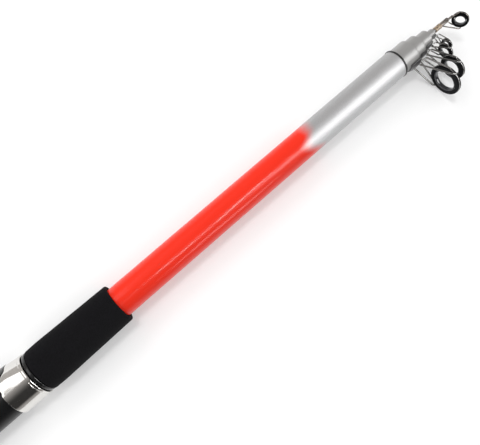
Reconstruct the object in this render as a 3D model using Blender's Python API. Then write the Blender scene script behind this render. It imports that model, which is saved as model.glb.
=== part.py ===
"""Telescopic spinning rod, closed, lying on its grips and its largest guide.

The rod's own axis runs along +X from the butt to the tip. Stations along it are
measured from the butt end. The guides point towards -Y, and the reel foot's side
of the seat is towards +Y. The finished rod is moved so that the middle of its
base is the origin. Units are metres.
"""
import math

import bmesh
import bpy
from mathutils import Matrix, Vector

MM = 0.001
GAP = 0.3 * MM

# Stations along the rod, from the butt end
PAD_END = 3.7 * MM
CAP_START = 4.0 * MM
CAP_END = 16.0 * MM
SEAL_START = 16.35 * MM
SEAL_END = 17.55 * MM
BLANK_START = 17.9 * MM
FERRULE_START = 18.2 * MM
REAR_GRIP_FULL = (46.0 * MM, 102.0 * MM)
REAR_GRIP_END = 126.0 * MM
SEAT_START = REAR_GRIP_END + GAP
SEAT_END = 237.5 * MM
GRIP_TRIM_START = 238.3 * MM
GRIP_TRIM_END = 240.9 * MM
FOREGRIP_START = GRIP_TRIM_END + GAP
FOREGRIP_FULL = 248.8 * MM
FOREGRIP_END = 301.6 * MM
MUZZLE = 543.3 * MM
MUZZLE_RING_END = 544.6 * MM
SECTION_BASE = 40.0 * MM

# Radii of the handle
GRIP_RADIUS = 14.5 * MM
GRIP_BORE = 10.7 * MM
REAR_GRIP_BUTT_RADIUS = 13.9 * MM
REAR_GRIP_FRONT_RADIUS = 13.4 * MM
GRIP_TRIM_REAR_RADIUS = 13.9 * MM
GRIP_TRIM_FRONT_RADIUS = 14.2 * MM
FOREGRIP_REAR_RADIUS = 14.3 * MM
FOREGRIP_FRONT_RADIUS = 13.4 * MM
PAD_RADIUS = 14.2 * MM
PAD_FACE_RADIUS = 13.2 * MM
CAP_RADIUS = 14.0 * MM
SEAT_RADIUS = 12.5 * MM
SEAT_BORE = 10.7 * MM
SEAT_BED = 11.3 * MM
BED_START = 162.4 * MM
BED_END = 219.8 * MM
BED_STEP = 0.1 * MM

# The butt blank, a hollow fibreglass tube
BLANK_RADIUS = 10.4 * MM
BLANK_MUZZLE_RADIUS = 9.9 * MM
BLANK_BORE = 9.3 * MM
BLANK_MUZZLE_BORE = 8.95 * MM
MUZZLE_RING_RADIUS = 10.35 * MM
MUZZLE_RING_BORE = 9.0 * MM

# The threaded plug in the butt end, with the groove round its cap. It is free of the
# ferrule after 6 mm of travel.
CAP_GROOVE = [(7.0 * MM, CAP_RADIUS), (8.0 * MM, 13.2 * MM), (10.0 * MM, 13.2 * MM), (11.0 * MM, CAP_RADIUS)]
PLUG_THREAD_RADIUS = 7.5 * MM
PLUG_THREAD_END = 24.3 * MM
PLUG_SPIGOT_RADIUS = 6.8 * MM
PLUG_SPIGOT_END = 33.6 * MM
FERRULE_END = 30.0 * MM
SEAL_RADIUS = 9.9 * MM
SEAL_BORE = 7.9 * MM
CUSHION_LENGTH = 4.1 * MM

# The reel seat's thread and the nut that runs on it
THREAD_PITCH = 4.0 * MM
THREAD_DEPTH = 0.6 * MM
THREAD_START = 132.5 * MM
THREAD_END = 160.5 * MM
NUT_START = 129.0 * MM
NUT_LENGTH = 14.9 * MM
NUT_RADIUS = 14.1 * MM
NUT_FLUTES = 10
NUT_FLUTE_DEPTH = 0.7 * MM
NUT_CHAMFER = 0.5 * MM
NUT_RIM = 2.5 * MM

# The two hoods that hold a reel's foot
HOOD_BORE = SEAT_RADIUS + GAP
HOOD_LENGTH = 17.3 * MM
HOOD_RADIUS = 13.4 * MM
HOOD_LIP_RADIUS = 16.9 * MM
HOOD_LIP_LENGTH = 7.5 * MM
HOOD_LIP_TAPER = 0.7 * MM
HOOD_SLEEVE = 0.55 * MM
HOOD_SLEEVE_START = 0.1 * MM
HOOD_SLEEVE_TAIL = 0.5 * MM
HOOD_RIM_LENGTH = 0.7 * MM
HOOD_BEAD = 0.25 * MM
HOOD_BEAD_LENGTH = 1.4 * MM
HOOD_SWELL = 1.45 * MM
HOOD_REAR_SWELL = 0.3 * MM
HOOD_SIDE_ANGLE = math.radians(36)
HOOD_BLEND_ANGLE = math.radians(82)
HOOD_TONGUE_ANGLE = math.radians(30)
HOOD_TONGUE_END_ANGLE = math.radians(60)
POCKET_HALF_WIDTH = 7.4 * MM
POCKET_FLOOR = 11.0 * MM
POCKET_CEILING = [(-1.0, 16.0), (4.35, 16.0), (5.1, 15.0), (11.0, 13.9)]
FRONT_HOOD_MOUTH = SEAT_END - HOOD_LENGTH
SLIDING_HOOD_MOUTH = NUT_START + NUT_LENGTH + GAP + HOOD_SLEEVE_TAIL + HOOD_LENGTH

# One entry for each sliding section that carries a guide, from the butt outwards.
# Radii in mm: the tube at its base and at its tip, the bore at its tip, the winding.
SECTIONS = [
    {"number": 2, "end": 557.5, "base": 8.6, "tip": 8.0, "bore": 7.1, "winding": 9.3},
    {"number": 3, "end": 565.5, "base": 6.75, "tip": 6.2, "bore": 5.3, "winding": 7.7},
    {"number": 4, "end": 574.5, "base": 4.95, "tip": 4.3, "bore": 3.05, "winding": 5.5},
    {"number": 5, "end": 580.3, "base": 2.7, "tip": 2.1, "bore": 1.5, "winding": 2.8},
]
TIP_BASE_RADIUS = 1.2 * MM
TIP_END_RADIUS = 0.8 * MM
TIP_BLANK_END = 594.0 * MM

# One entry for each guide, in mm: the saddle it stands on, and its ring.
GUIDES = [
    {"number": 1, "saddle": (548.6, 558.8), "thick": 1.4, "ring_x": 566.3, "offset": 30.9, "ring": 11.6,
     "hole": 7.45, "insert": 0.9, "half": 1.35, "wire": 0.6, "sit": 0.3, "rear": 555.4, "bend": 562.4},
    {"number": 2, "saddle": (559.9, 566.3), "thick": 0.9, "ring_x": 576.3, "offset": 27.4, "ring": 9.3,
     "hole": 5.3, "insert": 0.8, "half": 1.2, "wire": 0.55, "sit": 0.3, "rear": 564.2, "bend": 569.6},
    {"number": 3, "saddle": (567.6, 573.8), "thick": 1.1, "ring_x": 579.3, "offset": 15.8, "ring": 5.8,
     "hole": 3.2, "insert": 0.6, "half": 0.9, "wire": 0.45, "sit": 0.2, "rear": 571.5, "bend": 575.6},
    {"number": 4, "saddle": (576.2, 580.2), "thick": 0.9, "ring_x": 583.4, "offset": 12.6, "ring": 4.1,
     "hole": 2.2, "insert": 0.4, "half": 0.8, "wire": 0.36, "sit": 0.1, "rear": 579.6, "bend": 582.4},
]
SADDLE_HALF_ANGLE = math.radians(40)
FRONT_WIRE_GRIP = math.radians(65)

# The tip-top, which sits turned up from the other guides
TIP_TOP_TURN = math.radians(-45)
TIP_RING_X = 597.9 * MM
TIP_RING_OFFSET = 8.2 * MM
TIP_RING_RADIUS = 5.6 * MM
TIP_RING_HOLE = 3.1 * MM
TIP_RING_HALF = 1.1 * MM
TIP_RING_INSERT = 0.6 * MM
TIP_RING_SIT = 0.2 * MM
TIP_RING_LEAN = math.radians(28)
TIP_WIRE = 0.4 * MM
TIP_STRUT_GRIP = math.radians(35)
TIP_TUBE_START = 588.0 * MM
TIP_TUBE_END = 595.0 * MM
TIP_TUBE_RADIUS = 1.6 * MM
TIP_WRAP_START = 582.0 * MM
TIP_WRAP_RADIUS = 2.0 * MM

# How far a wire runs outside the ring it holds
WIRE_CLEARANCE = 0.2 * MM
FIRST_GUIDE_SIDE = (GUIDES[0]["ring"] + 2 * GUIDES[0]["wire"]) * MM + WIRE_CLEARANCE
GUIDE_DROP = math.asin((GRIP_RADIUS - FIRST_GUIDE_SIDE) / (GUIDES[0]["offset"] * MM))


def clear_scene():
    for obj in list(bpy.data.objects):
        bpy.data.objects.remove(obj, do_unlink=True)


def material(name, colour, roughness, metallic=0.0):
    """A Principled material, made once for each name."""
    found = bpy.data.materials.get(name)
    if found:
        return found
    made = bpy.data.materials.new(name)
    made.use_nodes = True
    shader = made.node_tree.nodes["Principled BSDF"]
    shader.inputs["Base Color"].default_value = (*colour, 1.0)
    shader.inputs["Roughness"].default_value = roughness
    shader.inputs["Metallic"].default_value = metallic
    return made


def black_plastic(name):
    return material(name, (0.02, 0.02, 0.022), 0.35)


def chrome(name):
    return material(name, (0.8, 0.8, 0.8), 0.08, 1.0)


def foam(name):
    return material(name, (0.012, 0.012, 0.014), 0.85)


def silver_paint(name):
    return material(name, (0.42, 0.42, 0.43), 0.3, 0.6)


def rubber(name):
    return material(name, (0.015, 0.015, 0.016), 0.7)


def add_object(name, bm, parent, look):
    """Turn a bmesh into a smooth-shaded object under a parent."""
    bmesh.ops.remove_doubles(bm, verts=bm.verts, dist=1e-7)
    bmesh.ops.recalc_face_normals(bm, faces=bm.faces)
    mesh = bpy.data.meshes.new(name)
    bm.to_mesh(mesh)
    bm.free()
    mesh.shade_smooth()
    mesh.set_sharp_from_angle(angle=math.radians(35))
    mesh.materials.append(look)
    obj = bpy.data.objects.new(name, mesh)
    bpy.context.scene.collection.objects.link(obj)
    obj.parent = parent
    return obj


def add_axis(name, parent, turn=0.0):
    """An empty on the rod's axis, which carries the pieces of one moving body."""
    empty = bpy.data.objects.new(name, None)
    bpy.context.scene.collection.objects.link(empty)
    empty.empty_display_size = 10 * MM
    empty.parent = parent
    empty.rotation_euler = (turn, 0, 0)
    return empty


def rounded(corners, steps=3):
    """Points of a profile whose corners (x, radius, fillet) are rounded by arcs."""
    points = []
    for index, (x, r, fillet) in enumerate(corners):
        corner = Vector((x, r))
        if fillet <= 0:
            points.append(corner)
            continue
        before = Vector(corners[index - 1][:2]) - corner
        after = Vector(corners[(index + 1) % len(corners)][:2]) - corner
        half = before.angle(after) / 2
        reach = fillet / math.tan(half)
        centre = corner + (before.normalized() + after.normalized()).normalized() * fillet / math.sin(half)
        start = corner + before.normalized() * reach - centre
        end = corner + after.normalized() * reach - centre
        sweep = start.angle_signed(end)
        for step in range(steps + 1):
            points.append(centre + Matrix.Rotation(-sweep * step / steps, 2) @ start)
    return points


def turned_mesh(profile, segments):
    """A closed profile of (x, radius) points turned all the way round the X axis."""
    bm = bmesh.new()
    verts = [bm.verts.new((x, r, 0.0)) for x, r in profile]
    closed = all(r > 1e-7 for _, r in profile)
    edges = [bm.edges.new(pair) for pair in zip(verts, verts[1:])]
    if closed:
        edges.append(bm.edges.new((verts[-1], verts[0])))
    bmesh.ops.spin(bm, geom=verts + edges, cent=(0, 0, 0), axis=(1, 0, 0),
                   angle=math.tau, steps=segments, use_merge=True, use_duplicate=False)
    bmesh.ops.remove_doubles(bm, verts=bm.verts, dist=1e-6)
    return bm


def turned(name, corners, segments, parent, look, steps=3):
    return add_object(name, turned_mesh(rounded(corners, steps), segments), parent, look)


def shell_mesh(angles, outer_levels, inner_levels):
    """A tube whose outside and inside are rows of (x, radius) functions of the angle from +Y."""
    bm = bmesh.new()

    def ring(level):
        row = []
        for angle in angles:
            x, r = level(angle)
            row.append(bm.verts.new((x, r * math.cos(angle), r * math.sin(angle))))
        return row

    rows = [ring(level) for level in outer_levels]
    rows += [ring(level) for level in reversed(inner_levels)]
    count = len(angles)
    for low, high in zip(rows, rows[1:] + rows[:1]):
        for i in range(count):
            j = (i + 1) % count
            bm.faces.new((low[i], low[j], high[j], high[i]))
    return bm


def wire_mesh(points, radius, cyclic=False):
    """The mesh of a round wire along a list of points, with filled ends."""
    curve = bpy.data.curves.new("wire", "CURVE")
    curve.dimensions = "3D"
    curve.bevel_depth = radius
    curve.bevel_resolution = 1
    curve.use_fill_caps = True
    spline = curve.splines.new("POLY")
    spline.points.add(len(points) - 1)
    for point, place in zip(spline.points, points):
        point.co = (*place, 1.0)
    spline.use_cyclic_u = cyclic
    holder = bpy.data.objects.new("wire", curve)
    bpy.context.scene.collection.objects.link(holder)
    mesh = bpy.data.meshes.new_from_object(holder.evaluated_get(bpy.context.evaluated_depsgraph_get()))
    bpy.data.objects.remove(holder, do_unlink=True)
    bpy.data.curves.remove(curve)
    return mesh


def bent_path(corners, radius, steps=4):
    """A path through corner points, rounded at its inner corners."""
    corners = [Vector(c) for c in corners]
    path = [corners[0]]
    for before, corner, after in zip(corners, corners[1:], corners[2:]):
        back = before - corner
        ahead = after - corner
        reach = min(radius, 0.45 * back.length, 0.45 * ahead.length)
        start = corner + back.normalized() * reach
        end = corner + ahead.normalized() * reach
        for step in range(steps + 1):
            t = step / steps
            path.append(start * (1 - t) ** 2 + corner * 2 * t * (1 - t) + end * t ** 2)
    path.append(corners[-1])
    return path


def joined(name, meshes, operation, parent, look):
    """One solid from several meshes, by exact Booleans."""
    made = []
    for mesh in meshes:
        obj = bpy.data.objects.new(name + "_piece", mesh)
        bpy.context.scene.collection.objects.link(obj)
        made.append(obj)
    base = made[0]
    for tool in made[1:]:
        step = base.modifiers.new("join", "BOOLEAN")
        step.operation = operation
        step.solver = "EXACT"
        step.object = tool
    mesh = bpy.data.meshes.new_from_object(base.evaluated_get(bpy.context.evaluated_depsgraph_get()))
    for obj in made:
        bpy.data.objects.remove(obj, do_unlink=True)
    bm = bmesh.new()
    bm.from_mesh(mesh)
    bpy.data.meshes.remove(mesh)
    bmesh.ops.dissolve_degenerate(bm, edges=bm.edges, dist=1e-6)
    return add_object(name, bm, parent, look)


def mesh_of(bm):
    """A plain mesh from a bmesh, for use in a Boolean."""
    bmesh.ops.recalc_face_normals(bm, faces=bm.faces)
    mesh = bpy.data.meshes.new("tool")
    bm.to_mesh(mesh)
    bm.free()
    return mesh


def build_butt_blank(parent):
    """The red and silver outer tube, with the dark ring that edges its muzzle."""
    turned("butt_blank", [
        (BLANK_START, BLANK_RADIUS, 0),
        (FOREGRIP_END, BLANK_RADIUS, 0),
        (MUZZLE, BLANK_MUZZLE_RADIUS, 0),
        (MUZZLE, BLANK_MUZZLE_BORE, 0),
        (FOREGRIP_END, BLANK_BORE, 0),
        (BLANK_START, BLANK_BORE, 0),
    ], 40, parent, material("blank_paint", (0.8, 0.05, 0.02), 0.15))
    turned("muzzle_ring", [
        (MUZZLE + GAP, MUZZLE_RING_RADIUS, 0.25 * MM),
        (MUZZLE_RING_END, MUZZLE_RING_RADIUS, 0.25 * MM),
        (MUZZLE_RING_END, MUZZLE_RING_BORE, 0),
        (MUZZLE + GAP, MUZZLE_RING_BORE, 0),
    ], 28, parent, black_plastic("muzzle_black"), steps=1)


def build_grips(parent):
    """The two closed-cell foam grips, slid over the blank, and the foregrip's trim ring."""
    turned("foregrip_trim", [
        (GRIP_TRIM_START, GRIP_TRIM_REAR_RADIUS, 0.8 * MM),
        (GRIP_TRIM_END, GRIP_TRIM_FRONT_RADIUS, 0.4 * MM),
        (GRIP_TRIM_END, GRIP_BORE, 0),
        (GRIP_TRIM_START, GRIP_BORE, 0),
    ], 32, parent, black_plastic("grip_trim_black"), steps=2)
    turned("foregrip", [
        (FOREGRIP_START, FOREGRIP_REAR_RADIUS, 0.5 * MM),
        (FOREGRIP_FULL, GRIP_RADIUS, 0),
        (FOREGRIP_END, FOREGRIP_FRONT_RADIUS, 1.0 * MM),
        (FOREGRIP_END, GRIP_BORE, 0),
        (FOREGRIP_START, GRIP_BORE, 0),
    ], 32, parent, foam("foregrip_foam"), steps=2)
    turned("rear_grip", [
        (CAP_END + GAP, REAR_GRIP_BUTT_RADIUS, 1.5 * MM),
        (REAR_GRIP_FULL[0], GRIP_RADIUS, 0),
        (REAR_GRIP_FULL[1], GRIP_RADIUS, 0),
        (REAR_GRIP_END, REAR_GRIP_FRONT_RADIUS, 2.0 * MM),
        (REAR_GRIP_END, GRIP_BORE, 0),
        (CAP_END + GAP, GRIP_BORE, 0),
    ], 32, parent, foam("rear_grip_foam"), steps=2)


def seat_angles(segments):
    """Angles round the seat, with one on each edge of its flat bed."""
    edge = math.acos(SEAT_BED / SEAT_RADIUS)
    inner = [edge * i / 2 for i in range(-2, 3)]
    rest = math.tau - 2 * edge
    outer = [edge + rest * i / segments for i in range(1, segments)]
    return inner + outer


def on_bed(radius, angle, bed):
    """The radius at an angle from +Y, cut back to a flat at that height."""
    if math.cos(angle) <= 0.2:
        return radius
    return min(radius, bed / math.cos(angle))


def thread_radius(x, angle):
    """A right-hand thread's crest and root, fading out at both ends of its run."""
    turns = (x - THREAD_START) / THREAD_PITCH - angle / math.tau
    wave = 0.5 - 0.5 * math.cos(math.tau * turns)
    ends = min(x - THREAD_START, THREAD_END - x) / THREAD_PITCH
    depth = THREAD_DEPTH * max(0.0, min(1.0, ends))
    return SEAT_RADIUS - depth * wave


def bed_height(x):
    """The flat's height: the bed itself stands a little above the runs under the hoods."""
    if BED_START <= x <= BED_END:
        return SEAT_BED
    return SEAT_BED - BED_STEP


def build_reel_seat(parent):
    """The threaded tube with the flat bed that a reel's foot lies on."""
    steps_per_turn = 3
    turns = round((THREAD_END - THREAD_START) / THREAD_PITCH)
    stations = [SEAT_START]
    for step in range(turns * steps_per_turn + 1):
        stations.append(THREAD_START + THREAD_PITCH * step / steps_per_turn)
    stations += [BED_START - BED_STEP, BED_START, BED_END, BED_END + BED_STEP, SEAT_END - GAP]

    def outer(x):
        def level(angle):
            radius = SEAT_RADIUS
            if THREAD_START <= x <= THREAD_END:
                radius = thread_radius(x, angle)
            return x, on_bed(radius, angle, bed_height(x))
        return level

    def inner(x):
        return lambda angle: (x, SEAT_BORE)

    bore = [inner(SEAT_START), inner(SEAT_END - GAP)]
    shell = shell_mesh(seat_angles(18), [outer(x) for x in stations], bore)
    add_object("reel_seat_body", shell, parent, black_plastic("seat_black"))


def hood_angles():
    """Angles round a hood, closer together on the side of its pocket."""
    side = [math.radians(a) for a in range(-80, 81, 10)]
    back = [math.radians(a) for a in range(100, 261, 20)]
    return side + back


def hood_rise(angle, full=HOOD_SIDE_ANGLE, none=HOOD_BLEND_ANGLE):
    """1 over the pocket, falling smoothly to 0 down the hood's sides."""
    away = abs(math.remainder(angle, math.tau))
    t = (none - away) / (none - full)
    t = max(0.0, min(1.0, t))
    return t * t * (3 - 2 * t)


def pocket_mesh(mouth, inward):
    """The wedge that is cut from a hood for the end of a reel's foot."""
    bm = bmesh.new()
    rows = []
    for depth, top in POCKET_CEILING:
        x = mouth + inward * depth * MM
        half = POCKET_HALF_WIDTH
        row = [(x, POCKET_FLOOR, -half), (x, POCKET_FLOOR, half)]
        reach = math.asin(half / (top * MM))
        for i in range(7):
            angle = reach * (1 - i / 3)
            row.append((x, top * MM * math.cos(angle), top * MM * math.sin(angle)))
        rows.append([bm.verts.new(p) for p in row])
    count = len(rows[0])
    bm.faces.new(rows[0])
    bm.faces.new(rows[-1])
    for low, high in zip(rows, rows[1:]):
        for i in range(count):
            j = (i + 1) % count
            bm.faces.new((low[i], low[j], high[j], high[i]))
    return mesh_of(bm)


def hood_lip_length(angle):
    """How far the raised lip reaches behind the mouth: a tongue that ends on the hood's shoulders."""
    tongue = hood_rise(angle, HOOD_TONGUE_ANGLE, HOOD_TONGUE_END_ANGLE)
    return HOOD_RIM_LENGTH + (HOOD_LIP_LENGTH - HOOD_RIM_LENGTH) * tongue


def hood_lip_radius(depth, angle):
    """The lip's outside, highest at the mouth and falling to the bright sleeve."""
    height = HOOD_LIP_RADIUS - HOOD_LIP_TAPER * depth / HOOD_LIP_LENGTH
    return HOOD_RADIUS + (height - HOOD_RADIUS) * hood_rise(angle)


def hood_sleeve_start(angle):
    """Where the bright sleeve begins: behind the lip, and at the mouth where there is no lip."""
    beside_lip = min(1.0, hood_rise(angle) / 0.1)
    return HOOD_SLEEVE_START + (hood_lip_length(angle) + GAP - HOOD_SLEEVE_START) * beside_lip


def hood_stock_radius(depth, angle):
    """The hood body's outside behind its lip: round, and swollen over the pocket."""
    slope = min(1.15, (HOOD_LENGTH - depth) / (HOOD_LENGTH - HOOD_LIP_LENGTH))
    return HOOD_RADIUS + (HOOD_REAR_SWELL + HOOD_SWELL * slope) * hood_rise(angle)


def build_hood(names, mouth, inward, parent, looks):
    """A hood's black body with its pocket, and the bright sleeve round it.

    inward is +1 where the pocket runs towards the tip, -1 towards the butt.
    """
    angles = hood_angles()
    middle = 10.0 * MM

    def lip(depth_at, cut_back):
        def level(angle):
            depth = depth_at(angle)
            return mouth + inward * depth, hood_lip_radius(depth, angle) - cut_back
        return level

    def stock(depth_at, thickness):
        def level(angle):
            depth = depth_at(angle)
            return mouth + inward * depth, hood_stock_radius(depth, angle) + thickness
        return level

    def bore(depth):
        return lambda angle: (mouth + inward * depth, on_bed(HOOD_BORE, angle, SEAT_BED + GAP))

    body = shell_mesh(angles, [
        lip(lambda angle: 0.0, 0.3 * MM),
        lip(lambda angle: 0.3 * MM, 0.0),
        lip(lambda angle: hood_lip_length(angle) - 0.05 * MM, 0.0),
        stock(hood_lip_length, 0.0),
        stock(lambda angle: middle, 0.0),
        stock(lambda angle: HOOD_LENGTH, 0.0),
    ], [bore(0.0), bore(HOOD_LENGTH)])
    joined(names[0], [mesh_of(body), pocket_mesh(mouth, inward)], "DIFFERENCE", parent, looks[0])

    outside = GAP + HOOD_SLEEVE
    end = HOOD_LENGTH + HOOD_SLEEVE_TAIL
    bead_start = end - HOOD_BEAD_LENGTH
    sleeve = shell_mesh(angles, [
        stock(hood_sleeve_start, outside - 0.15 * MM),
        stock(lambda angle: hood_sleeve_start(angle) + 0.3 * MM, outside),
        stock(lambda angle: middle, outside),
        stock(lambda angle: bead_start - 0.2 * MM, outside),
        stock(lambda angle: bead_start, outside + HOOD_BEAD),
        stock(lambda angle: end, outside + HOOD_BEAD),
    ], [
        stock(hood_sleeve_start, GAP),
        stock(lambda angle: middle, GAP),
        stock(lambda angle: end, GAP),
    ])
    add_object(names[1], sleeve, parent, looks[1])


def build_nut(parent):
    """The fluted nut that pushes the sliding hood along the thread."""
    count = NUT_FLUTES * 3
    angles = [math.tau * i / count for i in range(count)]
    end = NUT_START + NUT_LENGTH

    def outer(x, cut_back):
        def level(angle):
            fluted = round(angle / math.tau * count) % 3 == 0
            depth = cut_back + (NUT_FLUTE_DEPTH if fluted and cut_back == 0 else 0)
            return x, NUT_RADIUS - depth
        return level

    def bore(x):
        return lambda angle: (x, HOOD_BORE)

    rim = 0.01 * MM
    flutes = NUT_RIM + 0.5 * MM
    shell = shell_mesh(angles, [
        outer(NUT_START, NUT_CHAMFER),
        outer(NUT_START + NUT_CHAMFER, rim),
        outer(NUT_START + NUT_RIM, rim),
        outer(NUT_START + flutes, 0.0),
        outer(end - flutes, 0.0),
        outer(end - NUT_RIM, rim),
        outer(end - NUT_CHAMFER, rim),
        outer(end, NUT_CHAMFER),
    ], [bore(NUT_START), bore(end)])
    add_object("locking_nut", shell, parent, black_plastic("nut_black"))


def build_butt_cap(handle, slide, turn):
    """The threaded ferrule in the blank's end, and the plug that closes it."""
    turned("butt_ferrule", [
        (FERRULE_START, BLANK_BORE - GAP, 0),
        (FERRULE_END, BLANK_BORE - GAP, 0.5 * MM),
        (FERRULE_END, PLUG_THREAD_RADIUS + GAP, 0),
        (FERRULE_START, PLUG_THREAD_RADIUS + GAP, 0),
    ], 24, handle, material("ferrule_metal", (0.55, 0.55, 0.56), 0.3, 1.0), steps=1)
    turned("plug_seal", [
        (SEAL_START, SEAL_RADIUS, 0.5 * MM),
        (SEAL_END, SEAL_RADIUS, 0.5 * MM),
        (SEAL_END, SEAL_BORE, 0.5 * MM),
        (SEAL_START, SEAL_BORE, 0.5 * MM),
    ], 20, slide, rubber("seal_rubber"), steps=1)
    turned("butt_plug", [
        (CAP_START, 0.0, 0),
        (CAP_START, CAP_RADIUS, 0.4 * MM),
        *[(x, r, 0) for x, r in CAP_GROOVE],
        (CAP_END, CAP_RADIUS, 0.4 * MM),
        (CAP_END, PLUG_THREAD_RADIUS, 0),
        (PLUG_THREAD_END, PLUG_THREAD_RADIUS, 0.5 * MM),
        (PLUG_THREAD_END, PLUG_SPIGOT_RADIUS, 0),
        (PLUG_SPIGOT_END, PLUG_SPIGOT_RADIUS, 0),
        (PLUG_SPIGOT_END, 0.0, 0),
    ], 28, turn, material("plug_metal", (0.35, 0.35, 0.37), 0.3, 1.0), steps=1)
    turned("butt_pad", [
        (0.0, 0.0, 0),
        (0.0, PAD_FACE_RADIUS, 1.4 * MM),
        (PAD_END, PAD_RADIUS, 0.4 * MM),
        (PAD_END, 0.0, 0),
    ], 28, turn, rubber("pad_rubber"), steps=2)
    cushion_start = PLUG_SPIGOT_END + GAP
    turned("plug_cushion", [
        (cushion_start, 0.0, 0),
        (cushion_start, PLUG_SPIGOT_RADIUS, 0.6 * MM),
        (cushion_start + CUSHION_LENGTH, PLUG_SPIGOT_RADIUS, 0.8 * MM),
        (cushion_start + CUSHION_LENGTH, 0.0, 0),
    ], 24, turn, foam("cushion_foam"), steps=1)


def build_section(spec, start_of_winding, slide, turn):
    """One sliding section's tube, and the varnished winding at its tip."""
    number = spec["number"]
    end = spec["end"] * MM
    base = spec["base"] * MM
    tip = spec["tip"] * MM
    bore = spec["bore"] * MM
    wall = tip - bore
    segments = 28 if number < 4 else 20
    turned("section_%d_blank" % number, [
        (SECTION_BASE, base, 0),
        (end, tip, 0),
        (end, bore, 0),
        (SECTION_BASE, base - wall, 0),
    ], segments, slide, silver_paint("section_paint_%d" % number))
    winding = spec["winding"] * MM
    shoulder = 0.8 * (winding - tip - GAP)
    turned("section_%d_winding" % number, [
        (start_of_winding, winding, 0),
        (end - 0.2 * MM, winding, shoulder),
        (end - 0.2 * MM, tip + GAP, 0),
        (start_of_winding, tip + GAP, 0),
    ], segments, turn, silver_paint("winding_varnish_%d" % number), steps=2)


def build_saddle(spec, winding, parent):
    """The black binding over a guide's foot, on the guide's own side of the winding."""
    start, end = (v * MM for v in spec["saddle"])
    inner = winding + GAP
    outer = inner + spec["thick"] * MM
    bm = bmesh.new()
    rows = []
    taper = 0.3 * (end - start)
    stations = [(start, 0.25), (start + taper, 1.0), (end - taper, 1.0), (end, 0.3)]
    steps = 8
    for x, height in stations:
        row = []
        for step in range(steps + 1):
            share = 2 * step / steps - 1
            angle = math.pi + share * SADDLE_HALF_ANGLE
            rise = (outer - inner) * height * (1 - 0.75 * share ** 4)
            r = inner + rise
            row.append(bm.verts.new((x, r * math.cos(angle), r * math.sin(angle))))
        for step in range(steps, -1, -1):
            angle = math.pi + (2 * step / steps - 1) * SADDLE_HALF_ANGLE
            row.append(bm.verts.new((x, inner * math.cos(angle), inner * math.sin(angle))))
        rows.append(row)
    count = len(rows[0])
    for low, high in zip(rows, rows[1:]):
        for i in range(count):
            j = (i + 1) % count
            bm.faces.new((low[i], low[j], high[j], high[i]))
    bm.faces.new(rows[0])
    bm.faces.new(rows[-1])
    number = spec["number"]
    add_object("guide_%d_binding" % number, bm, parent, black_plastic("binding_%d" % number))


def ring_frame(x, offset, lean=0.0):
    """The matrix that carries a ring turned about X to its place on a guide pointing to -Y."""
    return Matrix.Translation((x, -offset, 0)) @ Matrix.Rotation(lean, 4, "Z")


def cradle_radius(wire):
    """The radius of the wire hoop that lies in a ring's groove."""
    return 0.85 * wire


def build_ring(names, looks, place, sizes, parent, segments):
    """A guide's black ring, grooved for its wire, and the hard insert the line runs on."""
    radius, hole, wall, half, wire, sit = sizes
    hoop = cradle_radius(wire)
    groove = hoop + 0.32 * MM
    groove_floor = 0.4 * hoop + 0.2 * MM
    groove_radius = radius - sit - hoop - 0.28 * MM
    inner = hole + wall + GAP
    outline = [
        (-half, inner, 0), (-half, radius - 0.4 * MM, 0), (-half + 0.2 * MM, radius, 0),
        (-groove, radius, 0), (-groove_floor, groove_radius, 0),
        (groove_floor, groove_radius, 0), (groove, radius, 0),
        (half - 0.2 * MM, radius, 0), (half, radius - 0.4 * MM, 0), (half, inner, 0),
    ]
    ring = turned_mesh(rounded(outline), segments)
    bmesh.ops.transform(ring, matrix=place, verts=ring.verts)
    add_object(names[0], ring, parent, looks[0])
    lip = half + 0.2 * MM
    edge = inner - GAP
    insert = turned_mesh(rounded([
        (-lip, edge, 0), (lip, edge, 0), (lip, hole + 0.3 * MM, 0), (0.5 * lip, hole, 0),
        (-0.5 * lip, hole, 0), (-lip, hole + 0.3 * MM, 0),
    ]), segments)
    bmesh.ops.transform(insert, matrix=place, verts=insert.verts)
    add_object(names[1], insert, parent, looks[1])


def cradle_points(place, radius, steps):
    """Points round a ring's groove."""
    points = []
    for step in range(steps):
        angle = math.tau * step / steps
        points.append(place @ Vector((0, radius * math.cos(angle), radius * math.sin(angle))))
    return points


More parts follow.
